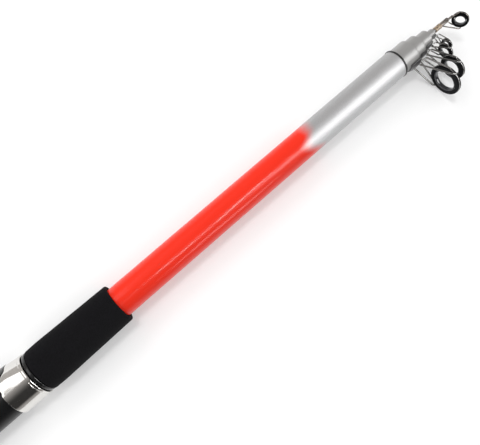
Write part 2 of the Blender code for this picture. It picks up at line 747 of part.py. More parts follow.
def build_guide(spec, winding, parent):
    """A guide: binding, bright wire frame, black ring and insert."""
    number = spec["number"]
    build_saddle(spec, winding, parent)
    ring_x = spec["ring_x"] * MM
    offset = spec["offset"] * MM
    radius = spec["ring"] * MM
    wire = spec["wire"] * MM
    place = ring_frame(ring_x, offset)
    segments = 24 if number < 3 else 16
    sit = spec["sit"] * MM
    half = spec["half"] * MM
    sizes = (radius, spec["hole"] * MM, spec["insert"] * MM, half, wire, sit)
    build_ring(("guide_%d_ring" % number, "guide_%d_insert" % number),
               (black_plastic("ring_%d" % number), material("insert_%d" % number, (0.03, 0.03, 0.035), 0.12)),
               place, sizes, parent, segments)

    hold = radius - sit
    clear = radius + wire + WIRE_CLEARANCE
    saddle_top = winding + GAP + spec["thick"] * MM
    spread = 0.42 * winding
    foot = math.sqrt((saddle_top + GAP + 0.6 * wire) ** 2 - spread ** 2)
    toe_spread = 0.36 * winding
    toe = math.sqrt((saddle_top - 0.2 * MM) ** 2 - toe_spread ** 2)
    rear = spec["rear"] * MM
    bend = spec["bend"] * MM
    front = spec["saddle"][1] * MM + GAP
    legs = []
    for side in (1, -1):
        swing = Vector((ring_x - half - wire, -offset + 0.12 * radius, side * clear))
        legs.append(bent_path([(rear, -foot, side * spread), swing, (ring_x, -offset, side * clear),
                               (ring_x, -offset, side * hold)], 1.5 * MM, 1))
        grip = Vector((0, math.cos(FRONT_WIRE_GRIP), side * math.sin(FRONT_WIRE_GRIP)))
        centre = Vector((ring_x, -offset, 0))
        legs.append(bent_path([(front, -toe, side * toe_spread), (bend, -toe, side * spread),
                               centre + grip * clear, centre + grip * hold], 1.2 * MM, 2))
    meshes = [wire_mesh(cradle_points(place, hold, segments), cradle_radius(wire), cyclic=True)]
    meshes += [wire_mesh(leg, wire) for leg in legs]
    joined("guide_%d_frame" % number, meshes, "UNION", parent,
           material("guide_wire", (0.75, 0.75, 0.74), 0.18, 1.0))


def build_tip_top(slide, turn):
    """The solid tip section, its bronze wrap, and the tip-top with its leaning ring."""
    turned("section_6_blank", [
        (SECTION_BASE, 0.0, 0),
        (SECTION_BASE, TIP_BASE_RADIUS, 0.2 * MM),
        (TIP_WRAP_START, TIP_BASE_RADIUS, 0),
        (TIP_TUBE_START, TIP_END_RADIUS, 0),
        (TIP_BLANK_END, TIP_END_RADIUS, 0.2 * MM),
        (TIP_BLANK_END, 0.0, 0),
    ], 16, slide, silver_paint("section_paint_6"), steps=1)
    turned("tip_wrap", [
        (TIP_WRAP_START, TIP_WRAP_RADIUS - 0.1 * MM, 0.4 * MM),
        (TIP_TUBE_START - GAP, TIP_WRAP_RADIUS, 0.4 * MM),
        (TIP_TUBE_START - GAP, TIP_BASE_RADIUS + GAP, 0),
        (TIP_WRAP_START, TIP_BASE_RADIUS + GAP, 0),
    ], 16, turn, material("wrap_bronze", (0.32, 0.2, 0.09), 0.3, 0.3), steps=1)

    place = ring_frame(TIP_RING_X, TIP_RING_OFFSET, TIP_RING_LEAN)
    sizes = (TIP_RING_RADIUS, TIP_RING_HOLE, TIP_RING_INSERT, TIP_RING_HALF, TIP_WIRE, TIP_RING_SIT)
    build_ring(("tip_top_ring", "tip_top_insert"),
               (black_plastic("ring_tip"), material("insert_tip", (0.03, 0.03, 0.035), 0.12)),
               place, sizes, turn, 18)

    tube = mesh_of(turned_mesh(rounded([
        (TIP_TUBE_START, TIP_TUBE_RADIUS, 0), (TIP_TUBE_END, TIP_TUBE_RADIUS, 0.3 * MM),
        (TIP_TUBE_END, TIP_END_RADIUS + 0.25 * MM, 0), (TIP_TUBE_START, TIP_END_RADIUS + 0.25 * MM, 0),
    ], 1), 16))
    hold = TIP_RING_RADIUS - TIP_RING_SIT
    clear = TIP_RING_RADIUS + TIP_WIRE + WIRE_CLEARANCE
    wires = [wire_mesh(cradle_points(place, hold, 18), cradle_radius(TIP_WIRE), cyclic=True)]
    for side in (1, -1):
        low = Vector((0, math.cos(TIP_STRUT_GRIP), side * math.sin(TIP_STRUT_GRIP)))
        high = Vector((0, 0, side))
        root = Vector((TIP_TUBE_END - 0.9 * MM, -0.9 * MM, side * 1.0 * MM))
        base = Vector((TIP_TUBE_START + 1.0 * MM, -0.9 * MM, side * 1.0 * MM))
        swing = place @ (high * clear + Vector((-TIP_RING_HALF - TIP_WIRE, 0.1 * clear, 0)))
        wires.append(wire_mesh(bent_path([root, place @ (low * clear), place @ (low * hold)], 0.8 * MM, 1),
                               TIP_WIRE))
        wires.append(wire_mesh(bent_path([base, swing, place @ (high * clear), place @ (high * hold)],
                                         1.5 * MM, 1), TIP_WIRE))
    joined("tip_top_frame", [tube] + wires, "UNION", turn,
           material("tip_frame_black", (0.03, 0.028, 0.026), 0.25, 0.7))


def set_on_floor(rod):
    """Move the rod so that the middle of its base is the origin."""
    bpy.context.view_layer.update()
    corners = [obj.matrix_world @ vert.co for obj in bpy.data.objects if obj.type == "MESH"
               for vert in obj.data.vertices]
    low = Vector([min(c[i] for c in corners) for i in range(3)])
    high = Vector([max(c[i] for c in corners) for i in range(3)])
    rod.location = (-(low.x + high.x) / 2, -(low.y + high.y) / 2, -low.z)


def build_rod():
    clear_scene()
    rod = add_axis("rod_axis", None)
    build_butt_blank(rod)
    build_grips(rod)
    build_reel_seat(rod)
    build_hood(("front_hood_body", "front_hood_sleeve"), FRONT_HOOD_MOUTH, 1, rod,
               (black_plastic("front_hood_black"), chrome("front_hood_chrome")))
    hood = add_axis("sliding_hood_axis", rod)
    build_hood(("sliding_hood_body", "sliding_hood_sleeve"), SLIDING_HOOD_MOUTH, -1, hood,
               (black_plastic("sliding_hood_black"), chrome("sliding_hood_chrome")))
    build_nut(add_axis("locking_nut_axis", hood))
    plug_slide = add_axis("plug_slide_axis", rod)
    build_butt_cap(rod, plug_slide, add_axis("plug_turn_axis", plug_slide))

    carrier = rod
    winding_start = MUZZLE_RING_END + GAP
    for section, guide in zip(SECTIONS, GUIDES):
        carrier = add_axis("section_%d_axis" % section["number"], carrier)
        turn = add_axis("guide_%d_axis" % guide["number"], carrier, turn=GUIDE_DROP)
        build_section(section, winding_start, carrier, turn)
        build_guide(guide, section["winding"] * MM, turn)
        winding_start = section["end"] * MM + GAP
    carrier = add_axis("section_6_axis", carrier)
    build_tip_top(carrier, add_axis("tip_top_axis", carrier, turn=TIP_TOP_TURN))
    set_on_floor(rod)


build_rod()
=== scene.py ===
"""A closed telescopic spinning rod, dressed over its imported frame.

Every piece is built in the rod's own frame and then carried to its place: x is the
station along the rod from its butt end, +Y is the side of the reel's foot, and the
guides point towards -Y. Lengths are in metres.
"""
import math

import bmesh
import bpy
from bpy.props import FloatProperty, FloatVectorProperty, IntProperty, PointerProperty
from mathutils import Matrix, Vector


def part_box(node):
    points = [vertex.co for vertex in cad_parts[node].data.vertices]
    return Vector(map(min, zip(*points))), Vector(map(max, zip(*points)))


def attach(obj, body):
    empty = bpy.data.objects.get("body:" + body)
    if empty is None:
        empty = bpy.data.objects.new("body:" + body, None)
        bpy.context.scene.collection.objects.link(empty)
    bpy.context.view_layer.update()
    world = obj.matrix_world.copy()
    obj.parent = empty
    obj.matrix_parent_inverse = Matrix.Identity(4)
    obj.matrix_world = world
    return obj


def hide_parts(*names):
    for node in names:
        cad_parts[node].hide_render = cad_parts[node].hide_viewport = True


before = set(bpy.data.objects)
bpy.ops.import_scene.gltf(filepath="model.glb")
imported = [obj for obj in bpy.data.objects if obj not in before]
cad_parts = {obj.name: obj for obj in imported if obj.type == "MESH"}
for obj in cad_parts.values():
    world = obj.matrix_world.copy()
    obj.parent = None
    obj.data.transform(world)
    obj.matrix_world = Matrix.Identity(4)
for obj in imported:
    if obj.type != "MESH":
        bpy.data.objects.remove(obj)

bl_info = {
    "name": "Telescopic fishing rod",
    "version": (1, 0, 0),
    "blender": (4, 5, 0),
    "location": "3D View > Sidebar > Rod",
    "description": "Builds the blank, handle, sections, guides and tip of a closed telescopic rod",
    "category": "Add Mesh",
}

# The unit, the space between pieces, the usual rounding of an edge, and what counts as touching
MM = 0.001
GAP = 0.3 * MM
EDGE = 0.2 * MM
TINY = 1e-7
CLOSE = 1e-6

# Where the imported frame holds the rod's axis
BUTT_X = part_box("butt_pad")[0].x
BLANK_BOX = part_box("butt_blank")
AXIS = Vector((BUTT_X, (BLANK_BOX[0].y + BLANK_BOX[1].y) / 2, (BLANK_BOX[0].z + BLANK_BOX[1].z) / 2))

# Stations along the rod
CAP_END = 16.0 * MM
BLANK_START = CAP_END + 1.9 * MM
REAR_GRIP_END = 126.0 * MM
SEAT_START = REAR_GRIP_END + GAP
SEAT_END = 237.5 * MM
GRIP_TRIM_START = 238.3 * MM
GRIP_TRIM_END = 240.9 * MM
FOREGRIP_START = GRIP_TRIM_END + GAP
FOREGRIP_END = 301.6 * MM
MUZZLE = 543.3 * MM
MUZZLE_RING_END = 544.6 * MM
SECTION_BASE = 40.0 * MM
BLANK_BORE = 9.3 * MM
BLANK_MUZZLE_BORE = 8.95 * MM

# How many sides the turned pieces have
BLANK_SIDES = 144
WIDE_SIDES = 128
RING_SIDES = 96
WRAP_SIDES = 72
THIN_SIDES = 48
PLUG_SIDES = 240
HOOP_SIDES = 12

# How the silver reaches into the red: ragged, in drops, and in a lobe beside the top that is a painted
# highlight, silver laid where the highlight falls on the fade
FADE_RAGGED = 7 * MM
FADE_DROPS = 2.4 * MM
FADE_HIGHLIGHT_LOBE_ANGLE = 0.33
FADE_HIGHLIGHT_LOBE_WIDTH = 0.75
FADE_HIGHLIGHT_LOBE_REACH = 8.5 * MM
FADE_HIGHLIGHT_LOBE_HOLLOW = -1.0 * MM
FADE_SHIFT = 4.7 * MM

# The blank where the grips cover it, painted dark as painted shade in the gaps between the handle's parts
GRIP_GAP_SHADE = (0.02, 0.02, 0.02)

# The trim rings
MUZZLE_RING_RISE = 0.45 * MM
MUZZLE_RING_BORE = BLANK_MUZZLE_BORE + 0.05 * MM
GRIP_TRIM_REAR_RADIUS = 13.9 * MM
GRIP_TRIM_FRONT_RADIUS = 14.2 * MM

# The grips
FOREGRIP_REAR_STEP = 0.2 * MM
FOREGRIP_FULL_START = FOREGRIP_START + 7.6 * MM
REAR_GRIP_START = CAP_END + GAP
REAR_GRIP_START_RADIUS = 13.9 * MM
REAR_GRIP_FULL_START = CAP_END + 30 * MM
REAR_GRIP_FULL_END = REAR_GRIP_END - 24 * MM
REAR_GRIP_END_RADIUS = 13.4 * MM

# The butt plug
CAP_RADIUS = 14.2 * MM
PAD_END = 3.7 * MM
PAD_BULGE = 1.0 * MM
PAD_GROOVES = (3.5 * MM, 6.5 * MM, 9.5 * MM)
PAD_GROOVE_DEPTH = 0.35 * MM
COLLAR_RADIUS = CAP_RADIUS - 0.2 * MM
COLLAR_START = 4.0 * MM
COLLAR_GROOVE = (7.0 * MM, 8.0 * MM, 10.0 * MM, 11.0 * MM)
COLLAR_GROOVE_RADIUS = COLLAR_RADIUS - 0.8 * MM
KNURL_START = 11.6 * MM
KNURL_END = CAP_END - 0.7 * MM
KNURL_DEPTH = 0.16 * MM
KNURL_COUNT = 60
PLUG_THREAD_RADIUS = 7.5 * MM
PLUG_THREAD_START = CAP_END + 1.0 * MM
PLUG_THREAD_END = 24.3 * MM
PLUG_THREAD_PITCH = 1.5 * MM
PLUG_THREAD_DEPTH = 0.42 * MM
PLUG_THREAD_FADE = 1.0 * MM
PLUG_THREAD_BEVEL = 0.6 * MM
PLUG_SPIGOT_RADIUS = 6.8 * MM
PLUG_SPIGOT_END = 33.6 * MM
CUSHION_START = PLUG_SPIGOT_END + GAP
CUSHION_END = PLUG_SPIGOT_END + 4.4 * MM
FERRULE_START = CAP_END + 2.2 * MM
FERRULE_END = 30.0 * MM
FERRULE_RADIUS = BLANK_BORE - GAP
FERRULE_BORE = PLUG_THREAD_RADIUS + GAP
SEAL_START = CAP_END + 0.35 * MM
SEAL_END = CAP_END + 1.55 * MM
SEAL_RADIUS = 9.9 * MM
SEAL_BORE = 7.9 * MM

# The reel seat and its nut
SEAT_RADIUS = 12.5 * MM
SEAT_BORE = 10.7 * MM
SEAT_BED = 11.3 * MM
BED_START = 162.4 * MM
BED_END = 219.8 * MM
BED_STEP = 0.1 * MM
BED_LEAST_COSINE = 0.2
SEAT_BEVEL = 0.3 * MM
THREAD_DEPTH = 0.6 * MM
THREAD_ROWS_PER_TURN = 20
THREAD_START = 132.5 * MM
THREAD_END = 160.5 * MM
NUT_START = 129.0 * MM
NUT_LENGTH = 14.9 * MM
NUT_RADIUS = 14.1 * MM
NUT_FLUTE_DEPTH = 0.75 * MM
NUT_FLUTE_MARGIN = 1.9 * MM
NUT_FLUTE_FADE = 1.6 * MM
NUT_SIDES_PER_FLUTE = 18

# The two hoods
HOOD_BORE = SEAT_RADIUS + GAP
HOOD_LENGTH = 17.3 * MM
HOOD_RADIUS = 13.4 * MM
HOOD_LIP_RADIUS = 16.9 * MM
HOOD_LIP_LENGTH = 7.5 * MM
HOOD_LIP_TAPER = 0.7 * MM
HOOD_RIM_LENGTH = 0.7 * MM
HOOD_SWELL = 1.45 * MM
HOOD_SWELL_LIMIT = 1.15
HOOD_REAR_SWELL = 0.3 * MM
HOOD_REAR_BEVEL = 0.3 * MM
HOOD_REAR_DROP = 0.25 * MM
HOOD_MOUTH_FILLET = 0.25 * MM
HOOD_LIP_FILLET = 0.3 * MM
HOOD_TONGUE_FILLET = 0.4 * MM
HOOD_TONGUE_GAP = 0.05 * MM
HOOD_SLEEVE = 0.55 * MM
HOOD_SLEEVE_START = 0.1 * MM
HOOD_SLEEVE_TAIL = 0.5 * MM
HOOD_SLEEVE_EDGE = 0.3 * MM
HOOD_SLEEVE_BLEND = 0.1
HOOD_BEAD = 0.25 * MM
HOOD_BEAD_LENGTH = 1.7 * MM
HOOD_BEAD_GROOVE = 0.2 * MM
HOOD_BEAD_SPACE = 0.35 * MM
HOOD_BEAD_FLAT = 0.12 * MM
HOOD_BEAD_BLUNTNESS = 0.6
HOOD_SIDE_ANGLE = math.radians(36)
HOOD_BLEND_ANGLE = math.radians(82)
HOOD_TONGUE_ANGLE = math.radians(30)
HOOD_TONGUE_END_ANGLE = math.radians(60)
POCKET_HALF_WIDTH = 7.4 * MM
POCKET_FLOOR = 11.0 * MM
POCKET_CEILING = [(-1.0, 16.0), (4.35, 16.0), (5.1, 15.0), (11.0, 13.9)]
FRONT_HOOD_MOUTH = SEAT_END - HOOD_LENGTH
SLIDING_HOOD_MOUTH = NUT_START + NUT_LENGTH + GAP + HOOD_SLEEVE_TAIL + HOOD_LENGTH

# The sliding sections, in mm: tip end, outside at base and tip, bore, winding
SECTIONS = [
    {"number": 2, "end": 557.5, "base": 8.6, "tip": 8.0, "bore": 7.1, "winding": 9.3},
    {"number": 3, "end": 565.5, "base": 6.75, "tip": 6.2, "bore": 5.3, "winding": 7.7},
    {"number": 4, "end": 574.5, "base": 4.95, "tip": 4.3, "bore": 3.05, "winding": 5.5},
    {"number": 5, "end": 580.3, "base": 2.7, "tip": 2.1, "bore": 1.5, "winding": 2.8},
]
WINDING_SETBACK = 0.2 * MM
TIP_BASE_RADIUS = 1.2 * MM
TIP_END_RADIUS = 0.8 * MM
TIP_BLANK_END = 594.0 * MM

# The guides, in mm: the binding it stands on, its ring and its wires
GUIDES = [
    {"number": 1, "binding": (548.6, 558.8), "thick": 1.4, "ring_x": 566.3, "offset": 30.9, "ring": 11.6,
     "hole": 7.45, "insert": 0.9, "half": 1.35, "wire": 0.6, "sit": 0.3, "rear": 555.4, "bend": 562.4},
    {"number": 2, "binding": (559.9, 566.3), "thick": 0.9, "ring_x": 576.3, "offset": 27.4, "ring": 9.3,
     "hole": 5.3, "insert": 0.8, "half": 1.2, "wire": 0.55, "sit": 0.3, "rear": 564.2, "bend": 569.6},
    {"number": 3, "binding": (567.6, 573.8), "thick": 1.1, "ring_x": 579.3, "offset": 15.8, "ring": 5.8,
     "hole": 3.2, "insert": 0.6, "half": 0.9, "wire": 0.45, "sit": 0.2, "rear": 571.5, "bend": 575.6},
    {"number": 4, "binding": (576.2, 580.2), "thick": 0.9, "ring_x": 583.4, "offset": 12.6, "ring": 4.1,
     "hole": 2.2, "insert": 0.4, "half": 0.8, "wire": 0.36, "sit": 0.1, "rear": 579.6, "bend": 582.4},
]
BINDING_HALF_ANGLE = math.radians(40)
BINDING_TAPER = 0.3
BINDING_REAR_HEIGHT = 0.25
BINDING_FRONT_HEIGHT = 0.3
BINDING_EDGE_DROP = 0.75
FRONT_WIRE_GRIP = math.radians(65)
WIRE_CLEARANCE = 0.2 * MM

# How the wires are laid, as shares of the winding's radius or of their own thickness
FOOT_SPREAD = 0.42
FOOT_LIFT = 0.6
TOE_SPREAD = 0.36
TOE_DEPTH = 0.2 * MM
HOOP_SHARE = 0.85
REAR_BEND = 1.5 * MM
FRONT_BEND = 1.2 * MM
STRUT_BEND = 0.8 * MM
SWING_SHARE = 0.12
TIP_SWING_SHARE = 0.1
WIRE_END_ANGLES = (0.25, 0.6, 1.0)
WIRE_END_LENGTH = 0.75
WIRE_END_WIDTH = 0.98

# The rings: how their grooves and their inserts are cut
RING_CORNER = 0.12 * MM
RING_FILLET = 0.3 * MM
RING_GROOVE_SIDE = 0.32 * MM
RING_GROOVE_CLEAR = 0.28 * MM
RING_GROOVE_FLOOR = 0.2 * MM
INSERT_LIP = 0.2 * MM

# The tip-top
TIP_TOP_TURN = math.radians(-45)
TIP_RING = {"x": 597.9, "offset": 8.2, "ring": 5.6, "hole": 3.1, "insert": 0.6, "half": 1.1, "wire": 0.4,
            "sit": 0.2}
TIP_RING_LEAN = math.radians(28)
TIP_STRUT_GRIP = math.radians(35)
TIP_TUBE_START = 588.0 * MM
TIP_TUBE_END = 595.0 * MM
TIP_TUBE_RADIUS = 1.6 * MM
TIP_WRAP_START = 582.0 * MM
TIP_WRAP_RADIUS = 2.0 * MM
TIP_STRUT_FOOT = 0.9 * MM
TIP_STRUT_SIDE = 1.0 * MM
TIP_STRUT_START = TIP_TUBE_START + 1.0 * MM
TIP_STRUT_END = TIP_TUBE_END - 0.9 * MM

# Carry a piece from the rod's frame to its place
ROD = Matrix.Translation(AXIS)
GUIDE_DROP = math.radians(2.782)
GUIDE_SIDE = ROD @ Matrix.Rotation(GUIDE_DROP, 4, "X")
TIP_SIDE = ROD @ Matrix.Rotation(TIP_TOP_TURN, 4, "X")

# How bright the room is in mirrored light, by the angle in degrees from the foot's side over the top
ROOM = ((0, 0.6), (30, 0.55), (74, 0.42), (88, 0.28), (104, 0.1), (116, 0.035), (158, 0.035), (170, 0.4))

# The lamps: their ends, the point they face, their width, and the light in which they don't show
LAMPS = [
    {"name": "strip_lamp_rear", "level": "strip_level", "hidden": "diffuse", "width": 0.05,
     "start": (0.265, -0.29, 1.0), "end": (0.43, -0.43, 1.0), "target": (0.37, 0, 0)},
    {"name": "strip_lamp_front", "level": "strip_level", "hidden": "diffuse", "width": 0.08,
     "start": (0.49, -0.371, 1.0), "end": (0.657, -0.19, 1.0), "target": (0.42, 0, 0)},
    {"name": "strip_lamp_low", "level": "low_strip_level", "hidden": "diffuse", "width": 0.22,
     "start": (0.36, -1.0, 0.6), "end": (0.65, -1.0, 0.34), "target": (0.4, 0, 0)},
    {"name": "tip_softbox", "level": "soft_level", "hidden": "diffuse", "width": 0.75,
     "start": (0.75, -0.60, 0.62), "end": (1.15, -0.30, 0.72), "target": (0.5, 0, 0)},
    {"name": "side_softbox", "level": "side_level", "hidden": None, "width": 0.6,
     "start": (-0.55, 0.545, 0.84), "end": (0.18, 0.545, 0.84), "target": (0.0, 0, 0)},
    {"name": "key_lamp", "level": "key_level", "hidden": "glossy", "width": 0.18,
     "start": (0.26, 0.41, 1.13), "end": (0.44, 0.41, 1.13), "target": (0.35, 0, 0)},
    {"name": "soft_lamp", "level": "fill_level", "hidden": "glossy", "width": 0.5,
     "start": (0.05, 1.0, 0.8), "end": (0.65, 1.0, 0.8), "target": (0.35, 0, 0)},
]

# The camera's right, up and forward directions
CAMERA_RIGHT = Vector((0.74839, -0.65230, 0.12006))
CAMERA_UP = Vector((0.65119, 0.75701, 0.05379))
CAMERA_FORWARD = Vector((0.12598, -0.03792, -0.99131))
SENSOR_WIDTH = 36
FLOOR_RADIUS = 4.0

# What the settings of one kind share
LENGTH = {"unit": "LENGTH", "subtype": "DISTANCE"}
COLOUR = {"size": 3, "min": 0, "max": 1, "subtype": "COLOR"}


class RodBlankSettings(bpy.types.PropertyGroup):
    """Size and paint of the butt blank and the sliding sections."""
    radius: FloatProperty(
        name="Radius", description="Outside of the blank under the handle", default=0.0104, min=0.009,
        max=0.02, precision=5, **LENGTH)
    muzzle_radius: FloatProperty(
        name="Muzzle radius", description="Outside of the blank at its front end", default=0.0099,
        min=0.009, max=0.02, precision=5, **LENGTH)
    red: FloatVectorProperty(
        name="Red", description="Paint over most of the blank", default=(0.79, 0.020, 0.003), **COLOUR)
    silver: FloatVectorProperty(
        name="Silver", description="Paint at the blank's front end", default=(0.50, 0.50, 0.506), **COLOUR)
    fade_station: FloatProperty(
        name="Fade", description="Station where the red has turned half to silver", default=0.4625,
        min=0.31, max=0.54, precision=4, **LENGTH)
    fade_length: FloatProperty(
        name="Fade length", description="Length over which the paint changes", default=0.013, min=0.001,
        max=0.1, precision=4, **LENGTH)
    section_grey: FloatVectorProperty(
        name="Section grey", description="Paint of the sliding sections", default=(0.30, 0.30, 0.305),
        **COLOUR)
    winding_grey: FloatVectorProperty(
        name="Winding grey", description="Varnished thread at the sections' tips",
        default=(0.30, 0.295, 0.29), **COLOUR)


class RodHandleSettings(bpy.types.PropertyGroup):
    """Sizes and colours of the grips, the reel seat and the butt plug."""
    grip_radius: FloatProperty(
        name="Grip radius", description="Outside of the foam grips at their thickest", default=0.0145,
        min=0.0115, max=0.03, precision=5, **LENGTH)
    foregrip_front_radius: FloatProperty(
        name="Foregrip front radius", description="Outside of the foregrip at its front end",
        default=0.0134, min=0.0115, max=0.03, precision=5, **LENGTH)
    foam: FloatVectorProperty(
        name="Foam", description="Colour of the foam grips", default=(0.0042, 0.0040, 0.0050), **COLOUR)
    foam_cell: FloatProperty(
        name="Foam cell", description="Width of the foam's cut cells", default=0.0006, min=0.0001,
        max=0.003, precision=5, **LENGTH)
    plastic: FloatVectorProperty(
        name="Seat plastic", description="Colour of the seat, the hoods and the nut",
        default=(0.007, 0.007, 0.0075), **COLOUR)
    bright: FloatVectorProperty(
        name="Bright sleeve", description="Colour of the hoods' plated sleeves",
        default=(0.74, 0.725, 0.70), **COLOUR)
    ferrule_metal: FloatVectorProperty(
        name="Ferrule metal", description="Colour of the threaded ferrule in the butt",
        default=(0.55, 0.55, 0.56), **COLOUR)
    plug_metal: FloatVectorProperty(
        name="Plug metal", description="Colour of the butt plug",
        default=(0.30, 0.30, 0.32), **COLOUR)
    thread_pitch: FloatProperty(
        name="Thread pitch", description="Travel of the nut in one turn", default=0.004, min=0.001,
        max=0.008, precision=4, **LENGTH)
    nut_flutes: IntProperty(
        name="Nut flutes", description="Finger grooves round the locking nut", default=10, min=4, max=24)


class RodGuideSettings(bpy.types.PropertyGroup):
    """Colours and wire of the line guides."""
    wire_scale: FloatProperty(
        name="Wire thickness", description="Share of the frame's own wire thickness", default=1.0, min=0.5,
        max=1.2, subtype="FACTOR")
    steel: FloatVectorProperty(
        name="Wire steel", description="Colour of the guides' bright wires", default=(0.28, 0.275, 0.27),
        **COLOUR)
    ring_black: FloatVectorProperty(
        name="Ring black", description="Colour of the guides' outer rings", default=(0.005, 0.005, 0.006),
        **COLOUR)
    insert_grey: FloatVectorProperty(
        name="Insert grey", description="Colour of the hard rings the line runs on",
        default=(0.030, 0.030, 0.034), **COLOUR)
    binding: FloatVectorProperty(
        name="Binding", description="Colour of the thread over the guides' feet",
        default=(0.012, 0.011, 0.011), **COLOUR)
    tip_steel: FloatVectorProperty(
        name="Tip steel", description="Colour of the tip-top's plated tube and struts",
        default=(0.20, 0.18, 0.165), **COLOUR)
    bronze: FloatVectorProperty(
        name="Tip wrap", description="Colour of the thread below the tip-top", default=(0.40, 0.30, 0.20),
        **COLOUR)
    thread: FloatProperty(
        name="Thread", description="Spacing of the binding thread", default=0.00028, min=0.0001, max=0.001,
        precision=5, **LENGTH)


class RodStageSettings(bpy.types.PropertyGroup):
    """The floor, the lamps and the camera."""
    floor: FloatVectorProperty(
        name="Floor", description="Colour of the floor", default=(0.97, 0.97, 0.97), **COLOUR)
    floor_glow: FloatProperty(
        name="Floor glow", description="Share of plain white that the camera sees in the floor",
        default=0.18, min=0, max=1, subtype="FACTOR")
    ceiling: FloatVectorProperty(
        name="Room", description="Tint of the room that metal and varnish mirror",
        default=(1.0, 0.96, 0.93), **COLOUR)
    daylight: FloatProperty(
        name="Daylight", description="Level of the light from all round", default=0.78, min=0, max=2)
    daylight_tilt: FloatProperty(
        name="Daylight tilt", description="How much more of it comes from the foot's side", default=0.02,
        min=0, max=1)
    key_level: FloatProperty(
        name="Key lamp", description="Brightness of the lamp that casts the shadow", default=29.0, min=0,
        max=200)
    fill_level: FloatProperty(
        name="Soft lamp", description="Brightness of the wide lamp on the foot's side", default=3.6, min=0,
        max=50)
    strip_level: FloatProperty(
        name="Strip lamps", description="Brightness of the narrow lamps overhead", default=26.0, min=0,
        max=100)
    low_strip_level: FloatProperty(
        name="Low strip lamp", description="Brightness of the low lamp on the guides' side", default=5.5,
        min=0, max=100)
    soft_level: FloatProperty(
        name="Tip softbox", description="Brightness of the wide lamp beyond the tip", default=6.2, min=0,
        max=50)
    side_level: FloatProperty(
        name="Side softbox", description="Brightness of the wide lamp beside the butt", default=1.4, min=0,
        max=50)
    lens: FloatProperty(
        name="Lens", description="Focal length on a sensor 36 mm wide", default=36.4875, min=10, max=200,
        unit="CAMERA")
    camera: FloatVectorProperty(
        name="Camera", description="Place of the camera from the butt end, on the axis", size=3,
        default=(0.352, 0.0, 0.31114), unit="LENGTH", subtype="TRANSLATION")


class Nodes:
    """A node tree, emptied and built anew."""

    def __init__(self, tree):
        self.tree = tree
        tree.nodes.clear()

    def add(self, kind, **settings):
        made = self.tree.nodes.new(kind)
        for key, value in settings.items():
            setattr(made, key, value)
        return made

    def link(self, source, target):
        self.tree.links.new(source, target)

    def math(self, operation, first, second=0.0):
        made = self.add("ShaderNodeMath", operation=operation)
        for value, target in zip((first, second), made.inputs):
            if isinstance(value, (int, float)):
                target.default_value = value
            else:
                self.link(value, target)
        return made.outputs[0]

    def spread(self, value, low, high, to_low, to_high, smooth=False):
        """A number spread from one range to another, and held at its ends."""
        made = self.add("ShaderNodeMapRange", interpolation_type="SMOOTHSTEP" if smooth else "LINEAR")
        self.link(value, made.inputs["Value"])
        for key, number in (("From Min", low), ("From Max", high), ("To Min", to_low), ("To Max", to_high)):
            made.inputs[key].default_value = number
        return made.outputs["Result"]

    def mixed(self, share, first, second):
        """Two colours, or outputs of colour, mixed by a share."""
        made = self.add("ShaderNodeMix", data_type="RGBA")
        self.link(share, made.inputs["Factor"])
        for value, target in ((first, made.inputs[6]), (second, made.inputs[7])):
            if isinstance(value, bpy.types.NodeSocket):
                self.link(value, target)
            else:
                target.default_value = (*value, 1.0)
        return made.outputs[2]

    def parts(self, vector):
        """The X, Y and Z of a vector, by name."""
        made = self.add("ShaderNodeSeparateXYZ")
        self.link(vector, made.inputs["Vector"])
        return made.outputs


